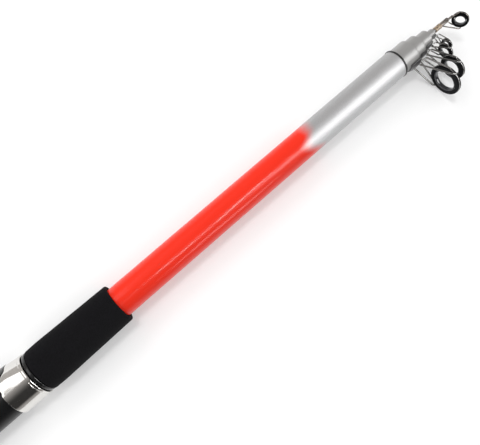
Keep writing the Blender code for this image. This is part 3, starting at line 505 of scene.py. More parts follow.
class Finish(Nodes):
    """A Principled material, with the nodes that vary it over a piece in the rod's own frame."""

    def __init__(self, name, colour, roughness, metallic=0.0, coat=0.0, coat_roughness=0.05):
        self.material = bpy.data.materials.get(name) or bpy.data.materials.new(name)
        self.material.use_nodes = True
        super().__init__(self.material.node_tree)
        self.shader = self.add("ShaderNodeBsdfPrincipled")
        self.output = self.add("ShaderNodeOutputMaterial")
        self.link(self.shader.outputs["BSDF"], self.output.inputs["Surface"])
        self.colour = colour
        for key, value in (("Base Color", (*colour, 1.0)), ("Roughness", roughness), ("Metallic", metallic),
                           ("Coat Weight", coat), ("Coat Roughness", coat_roughness)):
            self.shader.inputs[key].default_value = value
        self.material.diffuse_color = (*colour, 1.0)
        shift = self.add("ShaderNodeVectorMath", operation="SUBTRACT")
        self.link(self.add("ShaderNodeTexCoord").outputs["Object"], shift.inputs[0])
        shift.inputs[1].default_value = AXIS
        self.place = shift.outputs["Vector"]
        self.normal = None

    def stretched(self, stretch):
        """The rod's frame, drawn out along its axes so that a pattern follows them."""
        if stretch == (1, 1, 1):
            return self.place
        scaled = self.add("ShaderNodeVectorMath", operation="DIVIDE")
        self.link(self.place, scaled.inputs[0])
        scaled.inputs[1].default_value = stretch
        return scaled.outputs["Vector"]

    def along(self):
        """The station of each point, as a number."""
        return self.parts(self.place)["X"]

    def beside(self, angle):
        """How far round the axis each point is from a line at an angle from the top, away from the foot."""
        place = self.parts(self.place)
        around = self.math("ARCTAN2", self.math("MULTIPLY", place["Y"], -1), place["Z"])
        return self.math("ABSOLUTE", self.math("SUBTRACT", around, angle))

    def noise(self, size, detail=2.0, stretch=(1, 1, 1)):
        made = self.add("ShaderNodeTexNoise")
        made.inputs["Scale"].default_value = 1.0 / size
        made.inputs["Detail"].default_value = detail
        self.link(self.stretched(stretch), made.inputs["Vector"])
        return made.outputs["Fac"]

    def cells(self, size, output="Distance"):
        made = self.add("ShaderNodeTexVoronoi")
        made.inputs["Scale"].default_value = 1.0 / size
        self.link(self.place, made.inputs["Vector"])
        return made.outputs[output]

    def threads(self, pitch, wobble=0.0):
        """Ridges of wound thread: 0 in the grooves and 1 on the backs."""
        station = self.along()
        if wobble:
            station = self.math("ADD", station, self.math("MULTIPLY", self.noise(1.5 * MM), wobble * pitch))
        wave = self.math("SINE", self.math("MULTIPLY", station, math.tau / pitch))
        return self.spread(wave, -1.0, 1.0, 0.0, 1.0)

    def shade(self, share, dark, light):
        """The base colour made darker and lighter by a share."""
        mixed = self.mixed(share, varied(self.colour, dark), varied(self.colour, light))
        self.link(mixed, self.shader.inputs["Base Color"])

    def glow(self, share):
        """Mixes some plain white in, for the camera, for what metal mirrors and through glass."""
        white = self.add("ShaderNodeEmission")
        ray = self.add("ShaderNodeLightPath")
        mixed = self.add("ShaderNodeMixShader")
        seen = self.math("MAXIMUM", ray.outputs["Is Camera Ray"], ray.outputs["Is Glossy Ray"])
        seen = self.math("MAXIMUM", seen, ray.outputs["Is Transmission Ray"])
        self.link(self.math("MULTIPLY", seen, share), mixed.inputs["Fac"])
        self.link(self.shader.outputs["BSDF"], mixed.inputs[1])
        self.link(white.outputs["Emission"], mixed.inputs[2])
        self.link(mixed.outputs["Shader"], self.output.inputs["Surface"])

    def gloss(self, share, low, high):
        self.link(self.spread(share, 0.0, 1.0, low, high), self.shader.inputs["Roughness"])

    def bump(self, height, depth, strength, coat=False):
        """A raised pattern, of a depth in metres, added to those before it."""
        made = self.add("ShaderNodeBump")
        made.inputs["Strength"].default_value = strength
        made.inputs["Distance"].default_value = depth
        self.link(height, made.inputs["Height"])
        if self.normal is not None:
            self.link(self.normal, made.inputs["Normal"])
        self.normal = made.outputs["Normal"]
        self.link(self.normal, self.shader.inputs["Normal"])
        if coat:
            self.link(self.normal, self.shader.inputs["Coat Normal"])


def varied(colour, share):
    """A colour made lighter or darker, and held within what a paint can be."""
    return tuple(min(1.0, c * share) for c in colour)


def blank_paint(settings):
    """Red paint that is sprayed out to silver at the front, under clear varnish."""
    finish = Finish("blank_paint", settings.red, 0.3, coat=0.2, coat_roughness=0.03)
    finish.shader.inputs["Specular IOR Level"].default_value = 0.25
    ragged = finish.math("MULTIPLY", finish.noise(9 * MM, 1.0, (2.2, 1, 1)), FADE_RAGGED)
    drops = finish.math("MULTIPLY", finish.noise(0.5 * MM, 1.0), FADE_DROPS)
    # The lobe is a painted highlight: silver reaching back into the red on the guides' side of the top, where
    # the highlight falls
    highlight_lobe = finish.spread(finish.beside(FADE_HIGHLIGHT_LOBE_ANGLE), 0.0, FADE_HIGHLIGHT_LOBE_WIDTH, FADE_HIGHLIGHT_LOBE_REACH,
                         FADE_HIGHLIGHT_LOBE_HOLLOW, smooth=True)
    station = finish.math("ADD", finish.along(), finish.math("ADD", finish.math("ADD", ragged, drops), highlight_lobe))
    middle = settings.fade_station + FADE_SHIFT
    half = settings.fade_length / 2
    silvered = finish.spread(station, middle - half, middle + half, 0.0, 1.0, smooth=True)
    flake = finish.cells(0.22 * MM, "Color")
    flaked = finish.mixed(finish.spread(flake, 0.0, 1.0, 0.0, 0.55), varied(settings.silver, 0.86),
                          varied(settings.silver, 1.16))
    deep = finish.mixed(finish.noise(30 * MM, 2.0, (4, 1, 1)), varied(settings.red, 0.97),
                        varied(settings.red, 1.03))
    # Under the grips the blank is painted dark, as painted shade seen in the gaps between the grips, the trim
    # rings and the hood
    gap_shade = finish.spread(finish.along(), FOREGRIP_END - 1.2 * MM, FOREGRIP_END - 0.8 * MM, 0.0, 1.0)
    painted = finish.mixed(gap_shade, GRIP_GAP_SHADE, finish.mixed(silvered, deep, flaked))
    finish.link(painted, finish.shader.inputs["Base Color"])
    finish.link(finish.spread(silvered, 0.0, 1.0, 0.0, 0.75), finish.shader.inputs["Metallic"])
    finish.gloss(silvered, 0.28, 0.56)
    finish.bump(finish.noise(6 * MM, 1.0, (3, 1, 1)), 0.006 * MM, 0.5, coat=True)
    return finish.material


def section_paint(settings, number):
    """Silver-grey paint with a fine flake and the faint scratches of sliding."""
    finish = Finish("section_paint_%d" % number, settings.section_grey, 0.32, metallic=0.35,
                    coat=0.7, coat_roughness=0.06)
    finish.shade(finish.cells(0.2 * MM, "Color"), 0.88, 1.1)
    finish.gloss(finish.noise(0.35 * MM, 2.0, (60, 1, 1)), 0.24, 0.42)
    finish.bump(finish.noise(0.4 * MM, 1.0, (50, 1, 1)), 0.004 * MM, 0.5)
    return finish.material


def winding_varnish(settings, thread, number):
    """Grey thread wound round a section's tip, under thick varnish."""
    finish = Finish("winding_varnish_%d" % number, settings.winding_grey, 0.42, metallic=0.3,
                    coat=0.6)
    ridges_and_shade = finish.threads(thread, 0.5)
    # Darker in the thread's grooves and lighter on its backs: painted shade and painted sheen on top of the
    # raised thread
    finish.shade(ridges_and_shade, 0.82, 1.12)
    finish.bump(ridges_and_shade, 0.03 * MM, 0.5)
    finish.bump(finish.noise(2.2 * MM, 1.0), 0.05 * MM, 0.4, coat=True)
    return finish.material


def muzzle_black(settings):
    """Dark varnished trim at the blank's mouth."""
    finish = Finish("muzzle_black", settings.plastic, 0.25, coat=0.6)
    finish.shade(finish.noise(1.5 * MM), 0.8, 1.3)
    finish.bump(finish.threads(0.26 * MM, 0.3), 0.015 * MM, 0.4)
    return finish.material


def grip_foam(settings, name):
    """Closed-cell foam, ground to shape: fine cut cells and a little sheen."""
    finish = Finish(name, settings.foam, 0.88)
    finish.shader.inputs["Specular IOR Level"].default_value = 0.12
    cells = finish.cells(settings.foam_cell)
    fine = finish.noise(settings.foam_cell * 0.45, 3.0)
    patches = finish.noise(6 * MM, 2.0)
    grain = finish.math("MULTIPLY", finish.spread(cells, 0.05, 0.7, 1.0, 0.0), fine)
    tone = finish.math("ADD", finish.math("MULTIPLY", grain, 0.9), finish.math("MULTIPLY", patches, 0.4))
    finish.shade(tone, 0.5, 2.1)
    finish.gloss(patches, 0.8, 0.95)
    finish.bump(cells, 0.11 * MM, 0.75)
    finish.bump(fine, 0.05 * MM, 0.6)
    return finish.material


def moulded_black(settings, name, roughness=0.28, coat=0.1):
    """Moulded black plastic with a soft gloss."""
    finish = Finish(name, settings.plastic, roughness, coat=coat, coat_roughness=0.12)
    finish.shader.inputs["Specular IOR Level"].default_value = 0.2
    finish.shade(finish.noise(3 * MM, 3.0), 0.8, 1.35)
    finish.gloss(finish.noise(0.7 * MM, 3.0), roughness * 0.8, roughness * 1.3)
    finish.bump(finish.noise(0.25 * MM, 2.0), 0.008 * MM, 0.5)
    return finish.material


def bright_sleeve(settings, name):
    """Plated metal sleeve, turned and polished, with fine scuffs."""
    finish = Finish(name, settings.bright, 0.1, metallic=1.0)
    scuffs = finish.noise(0.5 * MM, 3.0, (0.35, 2.5, 2.5))
    finish.shade(finish.noise(2.5 * MM, 3.0), 0.93, 1.03)
    finish.gloss(scuffs, 0.04, 0.2)
    finish.bump(finish.noise(0.3 * MM, 3.0, (0.8, 1.6, 1.6)), 0.014 * MM, 0.6)
    return finish.material


def grip_rubber(settings, name):
    """Dull black rubber."""
    finish = Finish(name, varied(settings.plastic, 1.5), 0.7)
    finish.shade(finish.noise(2 * MM, 3.0), 0.75, 1.4)
    finish.gloss(finish.noise(0.5 * MM), 0.6, 0.82)
    finish.bump(finish.noise(0.3 * MM, 3.0), 0.03 * MM, 0.5)
    return finish.material


def turned_metal(name, colour, roughness):
    """Turned aluminium, with the fine lines of the lathe."""
    finish = Finish(name, colour, roughness, metallic=1.0)
    finish.shade(finish.noise(1.2 * MM, 2.0), 0.92, 1.06)
    lines = finish.noise(0.12 * MM, 1.0, (1, 80, 80))
    finish.gloss(lines, roughness * 0.7, roughness * 1.4)
    finish.bump(lines, 0.006 * MM, 0.5)
    return finish.material


def bright_wire(settings):
    """Polished steel wire."""
    finish = Finish("guide_wire", settings.steel, 0.16, metallic=1.0)
    finish.shade(finish.noise(1.0 * MM, 2.0), 0.9, 1.05)
    finish.gloss(finish.noise(0.4 * MM, 2.0), 0.1, 0.24)
    finish.bump(finish.noise(0.3 * MM, 2.0), 0.005 * MM, 0.4)
    return finish.material


def ring_black(settings, name):
    """Black plastic ring that cushions the hard insert."""
    finish = Finish(name, settings.ring_black, 0.45, coat=0.02, coat_roughness=0.1)
    finish.shader.inputs["Specular IOR Level"].default_value = 0.05
    finish.shade(finish.noise(1.2 * MM, 2.0), 0.8, 1.3)
    finish.gloss(finish.noise(0.5 * MM, 2.0), 0.36, 0.5)
    return finish.material


def insert_ceramic(settings, name):
    """Hard dark ceramic, polished where the line runs."""
    finish = Finish(name, settings.insert_grey, 0.1, coat=0.5, coat_roughness=0.03)
    finish.shade(finish.noise(0.8 * MM, 3.0), 0.8, 1.25)
    finish.gloss(finish.noise(0.6 * MM, 2.0), 0.06, 0.16)
    return finish.material


def black_binding(settings, name):
    """Black thread over a guide's foot, under a thick coat of varnish."""
    finish = Finish(name, settings.binding, 0.32, coat=0.9, coat_roughness=0.06)
    ridges_and_shade = finish.threads(settings.thread, 0.5)
    # Darker in the thread's grooves and lighter on its backs: painted shade and painted sheen on top of the
    # raised thread
    finish.shade(ridges_and_shade, 0.7, 1.5)
    finish.bump(ridges_and_shade, 0.035 * MM, 0.6)
    finish.bump(finish.noise(1.6 * MM, 1.0), 0.08 * MM, 0.4, coat=True)
    return finish.material


def bronze_wrap(settings):
    """Metallic bronze thread, wound tight and varnished."""
    finish = Finish("wrap_bronze", settings.bronze, 0.3, metallic=0.5, coat=0.7, coat_roughness=0.06)
    ridges_and_shade = finish.threads(settings.thread * 0.8, 0.4)
    specks = finish.spread(finish.noise(0.9 * MM, 3.0), 0.36, 0.52, 0.0, 1.0)
    # Dark specks of the thread, and darker still in its grooves as painted shade
    finish.shade(finish.math("MULTIPLY", specks, finish.spread(ridges_and_shade, 0.0, 1.0, 0.6, 1.0)), 0.2, 1.3)
    finish.bump(ridges_and_shade, 0.04 * MM, 0.7)
    return finish.material


def tip_steel(settings):
    """Dark plated steel of the tip-top's tube and struts."""
    finish = Finish("tip_steel", settings.tip_steel, 0.16, metallic=1.0)
    finish.shade(finish.spread(finish.noise(0.8 * MM, 3.0), 0.35, 0.65, 0.0, 1.0), 0.15, 2.4)
    finish.gloss(finish.noise(0.4 * MM, 2.0), 0.2, 0.38)
    return finish.material


def rounded(corners, steps=6):
    """Points of a profile whose corners (x, radius, fillet) are rounded by arcs."""
    points = []
    for index, (x, r, fillet) in enumerate(corners):
        corner = Vector((x, r))
        if fillet <= 0:
            points.append(corner)
            continue
        before = Vector(corners[index - 1][:2]) - corner
        after = Vector(corners[(index + 1) % len(corners)][:2]) - corner
        half = before.angle(after) / 2
        reach = fillet / math.tan(half)
        centre = corner + (before.normalized() + after.normalized()).normalized() * fillet / math.sin(half)
        start = corner + before.normalized() * reach - centre
        end = corner + after.normalized() * reach - centre
        sweep = start.angle_signed(end)
        for step in range(steps + 1):
            points.append(centre + Matrix.Rotation(-sweep * step / steps, 2) @ start)
    return points


def divided(points, spacing, closed=True):
    """The same profile with its long edges cut into even lengths."""
    cut = []
    for start, end in zip(points, points[1:] + points[:1] * closed):
        count = max(1, round((end - start).length / spacing))
        cut += [start.lerp(end, i / count) for i in range(count)]
    if not closed:
        cut.append(points[-1])
    return cut


def around(x, radius, angle):
    """The point at a station, a distance from the axis and an angle from +Y."""
    return x, radius * math.cos(angle), radius * math.sin(angle)


def stitch(bm, rows, closed=False, capped=False):
    """Faces between rows of points, each row a loop or a single point on the axis."""
    pairs = list(zip(rows, rows[1:]))
    if closed:
        pairs.append((rows[-1], rows[0]))
    count = len(rows[1])
    for low, high in pairs:
        for i in range(count):
            j = (i + 1) % count
            if len(low) == 1:
                bm.faces.new((low[0], high[j], high[i]))
            elif len(high) == 1:
                bm.faces.new((low[i], low[j], high[0]))
            else:
                bm.faces.new((low[i], low[j], high[j], high[i]))
    if capped:
        bm.faces.new(rows[0])
        bm.faces.new(rows[-1])


def turned_mesh(profile, segments, relief=None):
    """A profile of (x, radius) points turned round the axis, closed where it meets it.

    relief gives how far the surface stands proud at a station, radius and angle.
    """
    bm = bmesh.new()
    rows = []
    for x, r in profile:
        if r < TINY:
            rows.append([bm.verts.new((x, 0.0, 0.0))])
            continue
        angles = [math.tau * i / segments for i in range(segments)]
        rows.append([bm.verts.new(around(x, r + (relief(x, r, angle) if relief else 0.0), angle))
                     for angle in angles])
    stitch(bm, rows, closed=len(rows[0]) > 1)
    return bm


def shell_mesh(angles, outer_levels, inner_levels):
    """A tube whose outside and inside are rows of (x, radius) functions of the angle from +Y."""
    bm = bmesh.new()
    levels = outer_levels + inner_levels[::-1]
    rows = [[bm.verts.new(around(*level(angle), angle)) for angle in angles] for level in levels]
    stitch(bm, rows, closed=True)
    return bm


def bent_path(corners, radius, steps=8):
    """A path through corner points, rounded at its inner corners."""
    corners = [Vector(c) for c in corners]
    path = [corners[0]]
    for before, corner, after in zip(corners, corners[1:], corners[2:]):
        back = before - corner
        ahead = after - corner
        reach = min(radius, 0.45 * back.length, 0.45 * ahead.length)
        start = corner + back.normalized() * reach
        end = corner + ahead.normalized() * reach
        for step in range(steps + 1):
            t = step / steps
            path.append(start * (1 - t) ** 2 + corner * 2 * t * (1 - t) + end * t ** 2)
    path.append(corners[-1])
    return path


def wire_mesh(points, radius, cyclic=False, sides=14, round_start=False):
    """A round wire along points, its ends closed, and its first end rounded if asked."""
    bm = bmesh.new()
    points = [Vector(p) for p in points]
    widths = [radius] * len(points)
    if round_start:
        ahead = (points[1] - points[0]).normalized()
        inset = [1 - math.sin(a) for a in WIRE_END_ANGLES]
        points = [points[0] - ahead * radius * WIRE_END_LENGTH * t for t in inset] + points
        widths = [radius * math.sqrt(1 - (t * WIRE_END_WIDTH) ** 2) for t in inset] + widths
    count = len(points)
    across = None
    rows = []
    for i, point in enumerate(points):
        if cyclic:
            ahead = points[(i + 1) % count] - points[i - 1]
        else:
            ahead = points[min(i + 1, count - 1)] - points[max(i - 1, 0)]
        ahead.normalize()
        if across is None:
            across = ahead.orthogonal()
        across = (across - ahead * across.dot(ahead)).normalized()
        up = ahead.cross(across)
        turns = [math.tau * (k + 0.37) / sides for k in range(sides)]
        rows.append([bm.verts.new(point + (across * math.cos(t) + up * math.sin(t)) * widths[i])
                     for t in turns])
    stitch(bm, rows, closed=cyclic, capped=not cyclic)
    return mesh_of(bm)


def mesh_of(bm):
    """A plain mesh from a bmesh, for use in a Boolean."""
    bmesh.ops.recalc_face_normals(bm, faces=bm.faces)
    mesh = bpy.data.meshes.new("tool")
    bm.to_mesh(mesh)
    bm.free()
    return mesh


def placed(name, data):
    """An object of this name in the scene, in the stead of an old one."""
    old = bpy.data.objects.get(name)
    if old:
        bpy.data.objects.remove(old, do_unlink=True)
    made = bpy.data.objects.new(name, data)
    bpy.context.scene.collection.objects.link(made)
    return made


def joined(meshes, operation="UNION"):
    """One solid from several meshes, by exact Booleans, as a bmesh."""
    made = [placed("tool_%d" % index, mesh) for index, mesh in enumerate(meshes)]
    for tool in made[1:]:
        step = made[0].modifiers.new("join", "BOOLEAN")
        step.operation = operation
        step.solver = "EXACT"
        step.object = tool
    mesh = bpy.data.meshes.new_from_object(made[0].evaluated_get(bpy.context.evaluated_depsgraph_get()))
    for obj in made:
        bpy.data.objects.remove(obj, do_unlink=True)
    bm = bmesh.new()
    bm.from_mesh(mesh)
    for tool in meshes + [mesh]:
        bpy.data.meshes.remove(tool)
    bmesh.ops.dissolve_degenerate(bm, edges=bm.edges, dist=CLOSE)
    return bm


def add_piece(name, bm, finish, body, nodes, place=ROD, sharp=38):
    """Set a finished piece in its place, on its body and in the stead of its solids."""
    bmesh.ops.transform(bm, matrix=place, verts=bm.verts)
    bmesh.ops.remove_doubles(bm, verts=bm.verts, dist=TINY)
    bmesh.ops.recalc_face_normals(bm, faces=bm.faces)
    mesh = bpy.data.meshes.new(name)
    bm.to_mesh(mesh)
    bm.free()
    mesh.shade_smooth()
    mesh.set_sharp_from_angle(angle=math.radians(sharp))
    mesh.materials.append(finish)
    piece = placed(name, mesh)
    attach(piece, body)
    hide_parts(*nodes)
    return piece


def eased(share):
    """A share from 0 to 1 that starts and ends gently."""
    share = max(0.0, min(1.0, share))
    return share * share * (3 - 2 * share)


def on_bed(radius, angle, bed):
    """The radius at an angle from +Y, cut back to a flat at that height."""
    if math.cos(angle) <= BED_LEAST_COSINE:
        return radius
    return min(radius, bed / math.cos(angle))


def thread_groove(x, start, angle, pitch):
    """How deep in a right-hand thread's groove a point is, from 0 on the crest to 1 at the root."""
    turns = (x - start) / pitch - angle / math.tau
    return 0.5 - 0.5 * math.cos(math.tau * turns)


def seat_thread_radius(x, angle, pitch):
    """The seat's thread, fading out at both ends of its run."""
    ends = max(0.0, min(1.0, min(x - THREAD_START, THREAD_END - x) / pitch))
    return SEAT_RADIUS - THREAD_DEPTH * ends * thread_groove(x, THREAD_START, angle, pitch)


def hood_rise(angle, full=HOOD_SIDE_ANGLE, none=HOOD_BLEND_ANGLE):
    """1 over the pocket, falling smoothly to 0 down the hood's sides."""
    away = abs(math.remainder(angle, math.tau))
    return eased((none - away) / (none - full))


def hood_lip_length(angle):
    """How far the raised lip reaches behind the mouth: a tongue that ends on the hood's shoulders."""
    tongue = hood_rise(angle, HOOD_TONGUE_ANGLE, HOOD_TONGUE_END_ANGLE)
    return HOOD_RIM_LENGTH + (HOOD_LIP_LENGTH - HOOD_RIM_LENGTH) * tongue


def hood_lip_radius(depth, angle):
    """The lip's outside, highest at the mouth and falling to the bright sleeve."""
    height = HOOD_LIP_RADIUS - HOOD_LIP_TAPER * depth / HOOD_LIP_LENGTH
    return HOOD_RADIUS + (height - HOOD_RADIUS) * hood_rise(angle)


def hood_stock_radius(depth, angle):
    """The hood body's outside behind its lip: round, and swollen over the pocket."""
    slope = min(HOOD_SWELL_LIMIT, (HOOD_LENGTH - depth) / (HOOD_LENGTH - HOOD_LIP_LENGTH))
    return HOOD_RADIUS + (HOOD_REAR_SWELL + HOOD_SWELL * slope) * hood_rise(angle)


def hood_sleeve_start(angle):
    """Where the bright sleeve begins: behind the lip, and at the mouth where there is no lip."""
    beside_lip = eased(hood_rise(angle) / HOOD_SLEEVE_BLEND)
    return HOOD_SLEEVE_START + (hood_lip_length(angle) + GAP - HOOD_SLEEVE_START) * beside_lip


def pocket_mesh(mouth, inward):
    """The wedge that is cut from a hood for the end of a reel's foot."""
    bm = bmesh.new()
    rows = []
    half = POCKET_HALF_WIDTH
    for depth, top in POCKET_CEILING:
        x = mouth + inward * depth * MM
        reach = math.asin(half / (top * MM))
        row = [(x, POCKET_FLOOR, -half), (x, POCKET_FLOOR, half)]
        row += [around(x, top * MM, reach * (1 - i / 12)) for i in range(25)]
        rows.append([bm.verts.new(p) for p in row])
    stitch(bm, rows, capped=True)
    return mesh_of(bm)


def hood_angles():
    """Angles round a hood, closer together on the side of its pocket."""
    side = [math.radians(a / 2) for a in range(-180, 180, 5)]
    back = [math.radians(a) for a in range(90, 270, 4)]
    return side + back


def build_hood(kind, mouth, inward, body, settings):
    """A hood's black body with its pocket, and the bright sleeve round it.

    inward is +1 where the pocket runs towards the tip, -1 towards the butt.
    """
    angles = hood_angles()
    arc = [math.radians(a) for a in (0, 22.5, 45, 67.5, 90)]

    def station(depth):
        return mouth + inward * depth

    def lip_edge(turn, rear):
        """The lip's edge at the mouth, or at the tongue's end, rounded more where the lip is thick."""
        def level(angle):
            rise = hood_rise(angle)
            fillet = HOOD_TONGUE_FILLET * rise if rear else HOOD_MOUTH_FILLET + HOOD_LIP_FILLET * rise
            depth = fillet * (1 - math.sin(turn))
            if rear:
                depth = hood_lip_length(angle) - HOOD_TONGUE_GAP - depth
            return station(depth), hood_lip_radius(depth, angle) - fillet * (1 - math.cos(turn))
        return level

    def stock(depth_at, thickness):
        def level(angle):
            depth = depth_at(angle)
            return station(depth), hood_stock_radius(depth, angle) + thickness
        return level

    def ring(depth, thickness):
        return stock(lambda angle: depth, thickness)

    def share(start_at, end, part):
        """A depth that lies part of the way from one depth to another."""
        return lambda angle: start_at(angle) + (end - start_at(angle)) * part

    def bore(depth):
        return lambda angle: (station(depth), on_bed(HOOD_BORE, angle, SEAT_BED + GAP))

    outside = [lip_edge(turn, rear=False) for turn in reversed(arc)]
    outside += [lip_edge(turn, rear=True) for turn in arc]
    bevel = HOOD_LENGTH - HOOD_REAR_BEVEL
    outside += [stock(share(hood_lip_length, bevel, part / 8), 0.0) for part in range(9)]
    outside.append(ring(HOOD_LENGTH, -HOOD_REAR_DROP))
    shell = mesh_of(shell_mesh(angles, outside, [bore(0.0), bore(HOOD_LENGTH)]))
    add_piece(kind + "_hood_shell", joined([shell, pocket_mesh(mouth, inward)], "DIFFERENCE"),
              moulded_black(settings, kind + "_hood_black", 0.2, 0.5), body, (kind + "_hood_body",),
              sharp=30)

    proud = GAP + HOOD_SLEEVE
    end = HOOD_LENGTH + HOOD_SLEEVE_TAIL
    bead_start = end - HOOD_BEAD_LENGTH
    groove = proud - HOOD_BEAD_GROOVE

    def sleeve_edge(turn):
        depth = HOOD_MOUTH_FILLET * (1 - math.sin(turn))
        return stock(lambda angle: hood_sleeve_start(angle) + depth,
                     proud - HOOD_MOUTH_FILLET * (1 - math.cos(turn)))

    def past_edge(angle):
        return hood_sleeve_start(angle) + HOOD_SLEEVE_EDGE

    outside = [sleeve_edge(turn) for turn in reversed(arc)]
    plain_end = bead_start - HOOD_BEAD_SPACE
    outside += [stock(share(past_edge, plain_end, part / 10), proud) for part in range(1, 11)]
    outside += [ring(bead_start - HOOD_BEAD_FLAT, groove), ring(bead_start, groove)]
    for turn in range(0, 181, 15):
        a = math.radians(turn)
        outside.append(ring(bead_start + 0.5 * HOOD_BEAD_LENGTH * (1 - math.cos(a)),
                            groove + (HOOD_BEAD + HOOD_BEAD_GROOVE) * math.sin(a) ** HOOD_BEAD_BLUNTNESS))
    inside = [stock(share(hood_sleeve_start, end, part / 6), GAP) for part in range(7)]
    add_piece(kind + "_hood_plating", shell_mesh(angles, outside, inside),
              bright_sleeve(settings, kind + "_hood_chrome"), body, (kind + "_hood_sleeve",),
              sharp=30)


def flute(angle, count):
    """How deep a nut's finger groove is at an angle, from 0 to 1."""
    return max(0.0, math.cos(angle * count)) ** 1.4


def ring_outline(guide):
    """A guide ring's profile, with the groove that its wire lies in."""
    radius, half, wire, sit = (guide[key] * MM for key in ("ring", "half", "wire", "sit"))
    hoop = HOOP_SHARE * wire
    groove = hoop + RING_GROOVE_SIDE
    floor = 0.4 * hoop + RING_GROOVE_FLOOR
    groove_radius = radius - sit - hoop - RING_GROOVE_CLEAR
    inner = (guide["hole"] + guide["insert"]) * MM + GAP
    land = half - groove
    rear = [(-half, inner, RING_CORNER), (-half, radius, min(RING_FILLET, 0.8 * land)),
            (-groove, radius, 0.12 * land), (-floor, groove_radius, 0.1 * MM)]
    front = [(-x, r, fillet) for x, r, fillet in reversed(rear)]
    return rounded(rear + front, 4)


def insert_outline(guide):
    """The profile of the hard ring inside a guide ring, rounded where the line runs."""
    lip = guide["half"] * MM + INSERT_LIP
    hole = guide["hole"] * MM
    wall = guide["insert"] * MM
    points = rounded([(-lip, hole + wall, 0.12 * wall), (lip, hole + wall, 0.12 * wall),
                      (lip, hole, 0), (-lip, hole, 0)], 3)[:-2]
    for step in range(17):
        angle = math.pi * step / 16
        points.append(Vector((lip * math.cos(angle), hole + 0.5 * wall * (1 - math.sin(angle)))))
    return points


def build_ring(kind, guide, place, body, settings):
    """A guide's black ring and its hard insert, each in its own place and slot."""
    ring = turned_mesh(ring_outline(guide), RING_SIDES)
    add_piece(kind + "_cushion_ring", ring, ring_black(settings, kind + "_ring_black"), body,
              (kind + "_ring",), place)
    insert = turned_mesh(insert_outline(guide), RING_SIDES)
    add_piece(kind + "_line_ring", insert, insert_ceramic(settings, kind + "_insert_ceramic"), body,
              (kind + "_insert",), place)


def hoop_mesh(guide, place, wire, steps):
    """The wire that lies in a ring's groove."""
    hold = (guide["ring"] - guide["sit"]) * MM
    points = [place @ Vector(around(0, hold, math.tau * step / steps)) for step in range(steps)]
    return wire_mesh(points, HOOP_SHARE * wire, cyclic=True, sides=HOOP_SIDES)


def ring_place(x, offset, lean=0.0):
    """Carries a ring turned about X to its place on a guide pointing to -Y."""
    return Matrix.Translation((x, -offset, 0)) @ Matrix.Rotation(lean, 4, "Z")


def binding_mesh(guide, winding):
    """The wound thread over a guide's foot, domed and tapered at its ends."""
    start, end = (v * MM for v in guide["binding"])
    inner = winding + GAP
    thick = guide["thick"] * MM
    count = 30
    sides = [2 * step / 28 - 1 for step in range(29)]
    bm = bmesh.new()
    rows = []
    for i in range(count + 1):
        share = i / count
        swell = math.sin(min(1.0, share / BINDING_TAPER, (1 - share) / BINDING_TAPER) * math.pi / 2)
        least = BINDING_REAR_HEIGHT if share < 0.5 else BINDING_FRONT_HEIGHT
        height = least * (1 - swell) + swell
        x = start + (end - start) * share
        row = [around(x, inner + thick * height * (1 - BINDING_EDGE_DROP * side ** 4),
                      math.pi + side * BINDING_HALF_ANGLE) for side in sides]
        row += [around(x, inner, math.pi + side * BINDING_HALF_ANGLE) for side in reversed(sides)]
        rows.append([bm.verts.new(p) for p in row])
    stitch(bm, rows, capped=True)
    return bm


class ROD_OT_blank(bpy.types.Operator):
    """Build the painted butt blank"""
    bl_idname = "rod.blank"
    bl_label = "Butt blank"

    def execute(self, context):
        settings = context.scene.rod_blank
        outline = divided(rounded([
            (BLANK_START, settings.radius, 0.15 * MM), (FOREGRIP_END, settings.radius, 0),
            (MUZZLE, settings.muzzle_radius, 0.2 * MM), (MUZZLE, BLANK_MUZZLE_BORE, 0.1 * MM),
            (FOREGRIP_END, BLANK_BORE, 0), (BLANK_START, BLANK_BORE, 0),
        ], 4), 12 * MM)
        add_piece("painted_blank", turned_mesh(outline, BLANK_SIDES), blank_paint(settings), "handle",
                  ("butt_blank",))
        return {"FINISHED"}


class ROD_OT_trim_rings(bpy.types.Operator):
    """Build the dark trim at the blank's mouth and behind the foregrip"""
    bl_idname = "rod.trim_rings"
    bl_label = "Trim rings"

    def execute(self, context):
        settings = context.scene.rod_handle
        start = MUZZLE + GAP
        outside = context.scene.rod_blank.muzzle_radius + MUZZLE_RING_RISE
        ring = turned_mesh(rounded([
            (start, outside, 0.35 * MM), (MUZZLE_RING_END, outside, 0.45 * MM),
            (MUZZLE_RING_END, MUZZLE_RING_BORE, 0.15 * MM), (start, MUZZLE_RING_BORE, 0.1 * MM),
        ]), WIDE_SIDES)
        add_piece("muzzle_trim", ring, muzzle_black(settings), "handle", ("muzzle_ring",))

        bore = context.scene.rod_blank.radius + GAP
        ring = turned_mesh(rounded([
            (GRIP_TRIM_START, GRIP_TRIM_REAR_RADIUS, 1.1 * MM),
            (GRIP_TRIM_END, GRIP_TRIM_FRONT_RADIUS, 0.7 * MM), (GRIP_TRIM_END, bore, EDGE),
            (GRIP_TRIM_START, bore, EDGE),
        ], 8), WIDE_SIDES)
        add_piece("foregrip_trim_ring", ring, moulded_black(settings, "grip_trim_black", 0.14, 0.6), "handle",
                  ("foregrip_trim",), sharp=50)
        return {"FINISHED"}


